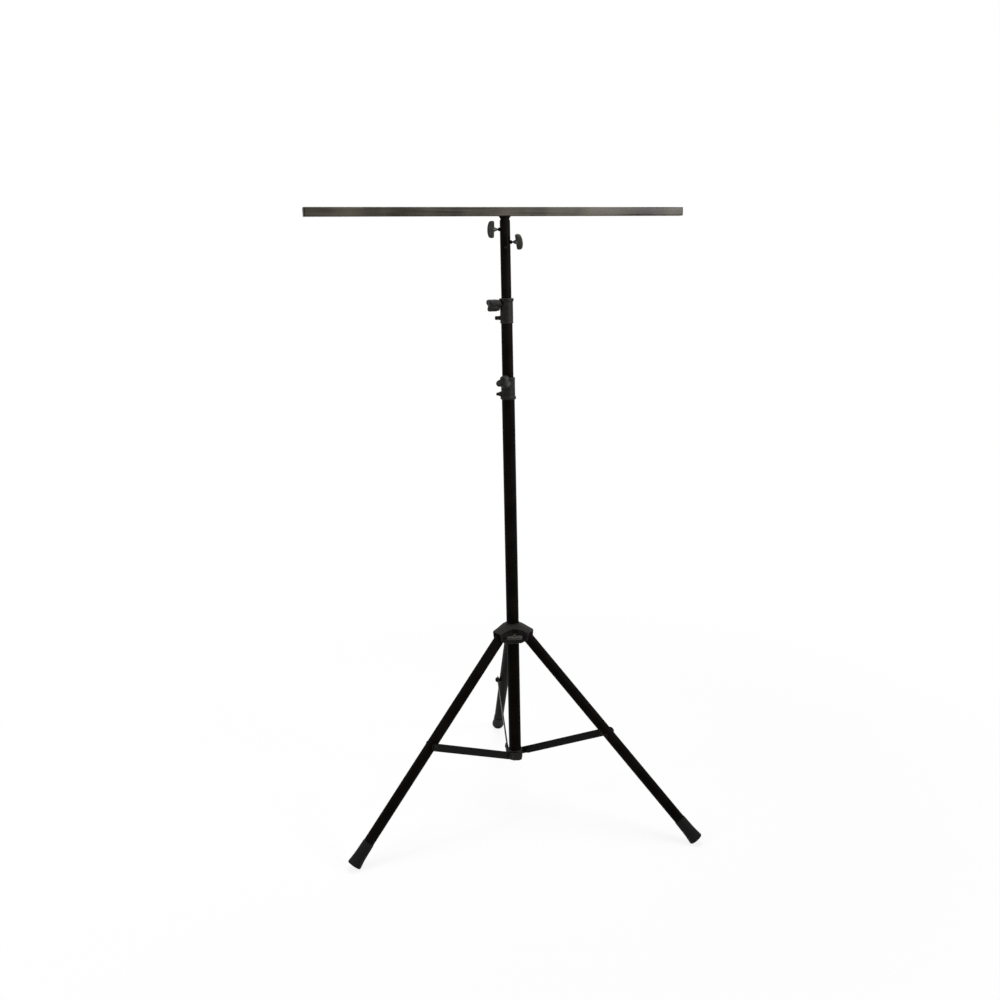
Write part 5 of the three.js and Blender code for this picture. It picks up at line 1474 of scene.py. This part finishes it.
def cup_screw():
    face, head, shank = CUP_RADIUS + CLEARANCE, 4.5 * MM, 2.5 * MM
    tip = face - CUP_SCREW_LENGTH
    return spun([
        (0, tip), (shank, tip, 1 * MM), (shank, face), (head, face, 0.2 * MM),
        (head * 0.85, face + 1.8 * MM, 2 * MM), (0, face + 2.4 * MM),
    ], TINY)


fitted("base_cup_screw", cup_screw(), CUP_SCREW_PLACE @ ALONG_X, "black_steel")

# %% [markdown]
# ## Legs
# Each leg is a tube on a pivot bolt between the hub's cheeks, with a flared rubber boot.
# The place of a leg comes from its two joints: the pivot on the hub and the strut's joint further down.

# %% Leg places
def leg_place(number):
    pivot, lower = joint_point(f"leg_{number}_fold"), joint_point(f"strut_{number}_fold")
    azimuth = azimuth_of(pivot - MAST)
    spread = atan2((lower - pivot).xy.length, pivot.z - lower.z)
    return shift(*pivot) @ spin(azimuth) @ spin(-spread, "Y")


STRUT_REACH = (joint_point("leg_1_fold") - joint_point("strut_1_fold")).length
LEG_REACH = 830 * MM
FOOT_LENGTH = 80 * MM
FOOT_FLARE = 56 * MM
FOOT_SOLE = 26 * MM
FOOT_LIP_RADIUS = 18.3 * MM
FOOT_WAIST_RADIUS = 18.8 * MM
FOOT_END_RADIUS = 22.5 * MM
FOOT_EDGE = 5 * MM


def leg_tube():
    bottom = FOOT_SOLE + CLEARANCE - LEG_REACH
    tube = lathe(tube_outline(LEG_RADIUS, LEG_RADIUS - TUBE_WALL, bottom, 8 * MM))
    reach = LEG_RADIUS + 2 * MM
    return cut(
        tube, drill(PIVOT_HOLE, -reach, reach, ALONG_Y),
        drill(STRUT_HOLE, -reach, reach, shift(z=-STRUT_REACH) @ ALONG_Y),
    )


def leg_foot():
    top, flare_top, end = FOOT_LENGTH - LEG_REACH, FOOT_FLARE - LEG_REACH, -LEG_REACH
    bore = LEG_RADIUS + CLEARANCE
    flare = []
    steps = 12
    for step in range(steps, 0, -1):
        share = step / steps
        radius = FOOT_WAIST_RADIUS + (FOOT_END_RADIUS - FOOT_WAIST_RADIUS) * share ** 2
        flare.append((radius, flare_top - (FOOT_FLARE - FOOT_EDGE) * share))
    sole = [
        (0, end + 1.5 * MM), (FOOT_END_RADIUS * 0.45, end + 0.9 * MM, 1 * MM),
        (FOOT_END_RADIUS, end, FOOT_EDGE),
    ]
    return spun([
        *sole, *flare[1:], (FOOT_WAIST_RADIUS, flare_top), (FOOT_LIP_RADIUS, top - 4 * MM, 1 * MM),
        (FOOT_LIP_RADIUS, top, 0.6 * MM), (bore, top, 0.3 * MM),
        (bore, end + FOOT_SOLE), (0, end + FOOT_SOLE),
    ], steps=FINE_ARC)


def worn_flat(piece):
    """Rubber that would reach below the floor is worn flat."""
    for vertex in piece.data.vertices:
        vertex.co.z = max(vertex.co.z, 0.0)
    piece.data.update()


# %% [markdown]
# ## Fasteners
# Domed bolts, hexagonal nuts, rivets and spacers repeat on all three legs. A nut is a hexagon
# whose corners a cone turns away, which is how the chamfer of a real nut is made.

# %% Bolts and nuts
PIVOT_BOLT = 3 * MM
STRUT_BOLT = 4 * MM
STRUT_SPACER = 3.4 * MM
STRUT_LENGTH = 315 * MM
STRUT_HALF = 12.5 * MM
STRUT_EDGE = 0.7 * MM
STRUT_EDGE_STEPS = 4
RIVET_RADIUS = 3 * MM
NUT_HEIGHT = 4 * MM
SPACER_RADIUS = 8 * MM


def domed_bolt(radius, head, height, face, end):
    """Along Z: the head's underside is at face, and the threaded end at end."""
    return spun([
        (0, end), (radius, end, 0.8 * MM), (radius, face), (head, face, 0.3 * MM),
        (head, face + height * 0.28, height * 0.25),
        (head * 0.72, face + height * 0.86, height), (0, face + height),
    ], SMALL, FINE_ARC)


def hex_nut(radius, across, face, height=NUT_HEIGHT):
    corner = across / sqrt(3)
    hexagon = [(corner * cos(step * pi / 3), corner * sin(step * pi / 3)) for step in range(6)]
    slope = (corner - across / 2) * 0.6
    blank = lathe([
        (0, -face - height), (across / 2, -face - height), (corner, -face - height + slope),
        (corner, -face - slope), (across / 2, -face), (0, -face),
    ])
    nut = shared_by(prism(hexagon, -face - height, -face), blank)
    return cut(nut, rod(radius + CLEARANCE, -face - height - 2 * MM, 2 * MM - face))


def strut_plate():
    """A flat bar with round ends: stadium outlines, drawn in a little towards both faces."""
    edge = eased(STRUT_EDGE, STRUT_EDGE_STEPS)
    stack = [(STRUT_INNER_FACE + rise, inset) for rise, inset in edge]
    stack += [(STRUT_OUTER_FACE - rise, inset) for rise, inset in reversed(edge)]
    rings = []
    for height, inset in stack:
        half = STRUT_HALF - inset
        far_end = arc((STRUT_LENGTH, 0), half, -pi / 2, pi / 2)
        outline = far_end + arc((0, 0), half, pi / 2, pi * 3 / 2)
        rings.append([(x, height, y) for x, y in outline])
    plate = loft(rings)
    holes = [
        drill(radius + CLEARANCE, 0, STRUT_OUTER_FACE * 2, shift(x) @ ALONG_Y)
        for x, radius in ((0, RIVET_RADIUS), (STRUT_LENGTH, STRUT_BOLT))
    ]
    return cut(plate, *holes)


def strut_rivet():
    face = STRUT_INNER_FACE - CLEARANCE
    return spun([
        (0, face - 1.8 * MM), (3.6 * MM, face - 1.8 * MM, 2 * MM), (5.5 * MM, face - 0.5 * MM, 0.4 * MM),
        (5.5 * MM, face, 0.2 * MM), (RIVET_RADIUS, face), (RIVET_RADIUS, STRUT_OUTER_FACE, 0.3 * MM),
        (0, STRUT_OUTER_FACE),
    ], TINY)


def strut_spacer():
    bore, foot = STRUT_BOLT + CLEARANCE, LEG_RADIUS + CLEARANCE
    top = foot + STRUT_SPACER
    return spun([
        (bore, foot, 0.2 * MM), (SPACER_RADIUS, foot, 0.4 * MM),
        (SPACER_RADIUS, top, 0.4 * MM), (bore, top, 0.2 * MM),
    ], SMALL)


def leg_pieces(number, turn):
    """All pieces of a leg: the end of the name, the mesh, its place and its finish."""
    leg = leg_place(number)
    crossing = leg @ shift(z=-STRUT_REACH) @ ALONG_Y
    cup_pin = CUP_PLACE @ spin(turn) @ shift(CUP_PIN_RADIUS, 0, CUP_PIN_RISE)
    far = cup_pin.inverted() @ joint_point(f"strut_{number}_fold")
    link = cup_pin @ spin(-atan2(far.z, far.x), "Y")
    pivot = HUB_PLACE @ spin(turn) @ shift(PIVOT_RADIUS) @ ALONG_Y
    flank, cheek = LEG_RADIUS + CLEARANCE, HUB_HALF + CLEARANCE
    strut_bolt = domed_bolt(
        STRUT_BOLT, head=9 * MM, height=8 * MM, face=STRUT_OUTER_FACE + CLEARANCE, end=-flank - NUT_HEIGHT,
    )
    pivot_bolt = domed_bolt(PIVOT_BOLT, head=6 * MM, height=3 * MM, face=cheek, end=-cheek - NUT_HEIGHT)
    return [
        ("tube", leg_tube(), leg, "black_powder_coat"),
        ("foot", leg_foot(), leg, "black_rubber"),
        ("strut_bolt", strut_bolt, crossing, "black_steel"),
        ("strut_nut", hex_nut(STRUT_BOLT, across=13 * MM, face=flank), crossing, "black_steel"),
        ("strut_spacer", strut_spacer(), crossing, "black_plastic"),
        ("strut", strut_plate(), link, "black_steel"),
        ("strut_rivet", strut_rivet(), link @ ALONG_Y, "black_steel"),
        ("pivot_bolt", pivot_bolt, pivot, "black_steel"),
        ("pivot_nut", hex_nut(PIVOT_BOLT, across=10 * MM, face=cheek), pivot, "black_steel"),
    ]


# %% Put the legs together
for number, turn in enumerate(LEG_TURNS, 1):
    for part, mesh, place, slot in leg_pieces(number, turn):
        piece = fitted(f"leg_{number}_{part}", mesh, place, slot)
        if part == "foot":
            worn_flat(piece)

# %% [markdown]
# ## Studio
# The stand is photographed on plain white. The world is white only for what the lens and the
# reflections see, and gives a calm, even light. Soft boxes draw long highlights on the tubes.
# The floor is white too and keeps a faint shadow.

# %% World and floor
def seen(tree):
    """1 for rays from the lens, from gloss and through glass, and 0 for the others."""
    path = tree.node("ShaderNodeLightPath")
    kinds = ("Camera", "Glossy", "Transmission")
    first, second, third = (path.out(f"Is {kind} Ray") for kind in kinds)
    return (first + second + third).clamped()


WORLD_LIGHT = 0.42
world = bpy.data.worlds.new("white_studio")
bpy.context.scene.world = world
world.use_nodes = True
sky = Tree(world.node_tree)
background = world.node_tree.nodes["Background"]
background.inputs["Color"].default_value = rgb(1, 1, 1)
sky.feed(background.inputs["Strength"], WORLD_LIGHT + seen(sky) * (1 - WORLD_LIGHT))

FLOOR_SIZE = 30.0
# The floor glows white for the lens: near the stand a little less, so that the shadow shows
GLOW_NEAR = 0.86
GLOW_FADE = (0.7, 2.2)
floor_mesh = prism([(-1, -1), (1, -1), (1, 1), (-1, 1)], -0.02, 0)
floor_mesh.transform(Matrix.Diagonal((FLOOR_SIZE / 2, FLOOR_SIZE / 2, 1, 1)))
floor = in_scene("floor", floor_mesh)


def floor_material():
    material = bpy.data.materials.new("white_floor")
    material.use_nodes = True
    tree = Tree(material.node_tree)
    for node in list(material.node_tree.nodes):
        material.node_tree.nodes.remove(node)
    paper = tree.node("ShaderNodeBsdfDiffuse", {"Color": rgb(0.9, 0.9, 0.9)})
    glow = tree.node("ShaderNodeEmission", {"Color": rgb(1, 1, 1), "Strength": 1.0})
    place = tree.node("ShaderNodeTexCoord").out("Object")
    away = tree.node("ShaderNodeVectorMath", [place], operation="LENGTH").out("Value")
    far = tree.node("ShaderNodeMapRange", [away, *GLOW_FADE], interpolation_type="SMOOTHSTEP")
    share = seen(tree) * (GLOW_NEAR + far * (1 - GLOW_NEAR))
    mixed = tree.node("ShaderNodeMixShader", [share, paper, glow])
    tree.node("ShaderNodeOutputMaterial", {"Surface": mixed})
    return material


floor_mesh.materials.append(floor_material())

# %% Soft boxes
def soft_box(name, place, aim, width, height, power, spread=180):
    light = bpy.data.lights.new(name, "AREA")
    light.shape = "RECTANGLE"
    light.size = width
    light.size_y = height
    light.energy = power
    light.spread = radians(spread)
    lamp = in_scene(name, light)
    lamp.location = place
    lamp.rotation_euler = (Vector(aim) - Vector(place)).to_track_quat("-Z", "Y").to_euler()


soft_box("key", (3.0, -1.7, 2.6), (0.2, 0, 1.9), 0.9, 1.6, 20, 60)
soft_box("fill", (-2.6, -1.4, 2.6), (0, 0, 1.0), 0.5, 1.8, 24)
soft_box("top", (0.1, 0.1, 4.3), (0, 0, 1.0), 2.2, 1.6, 95)
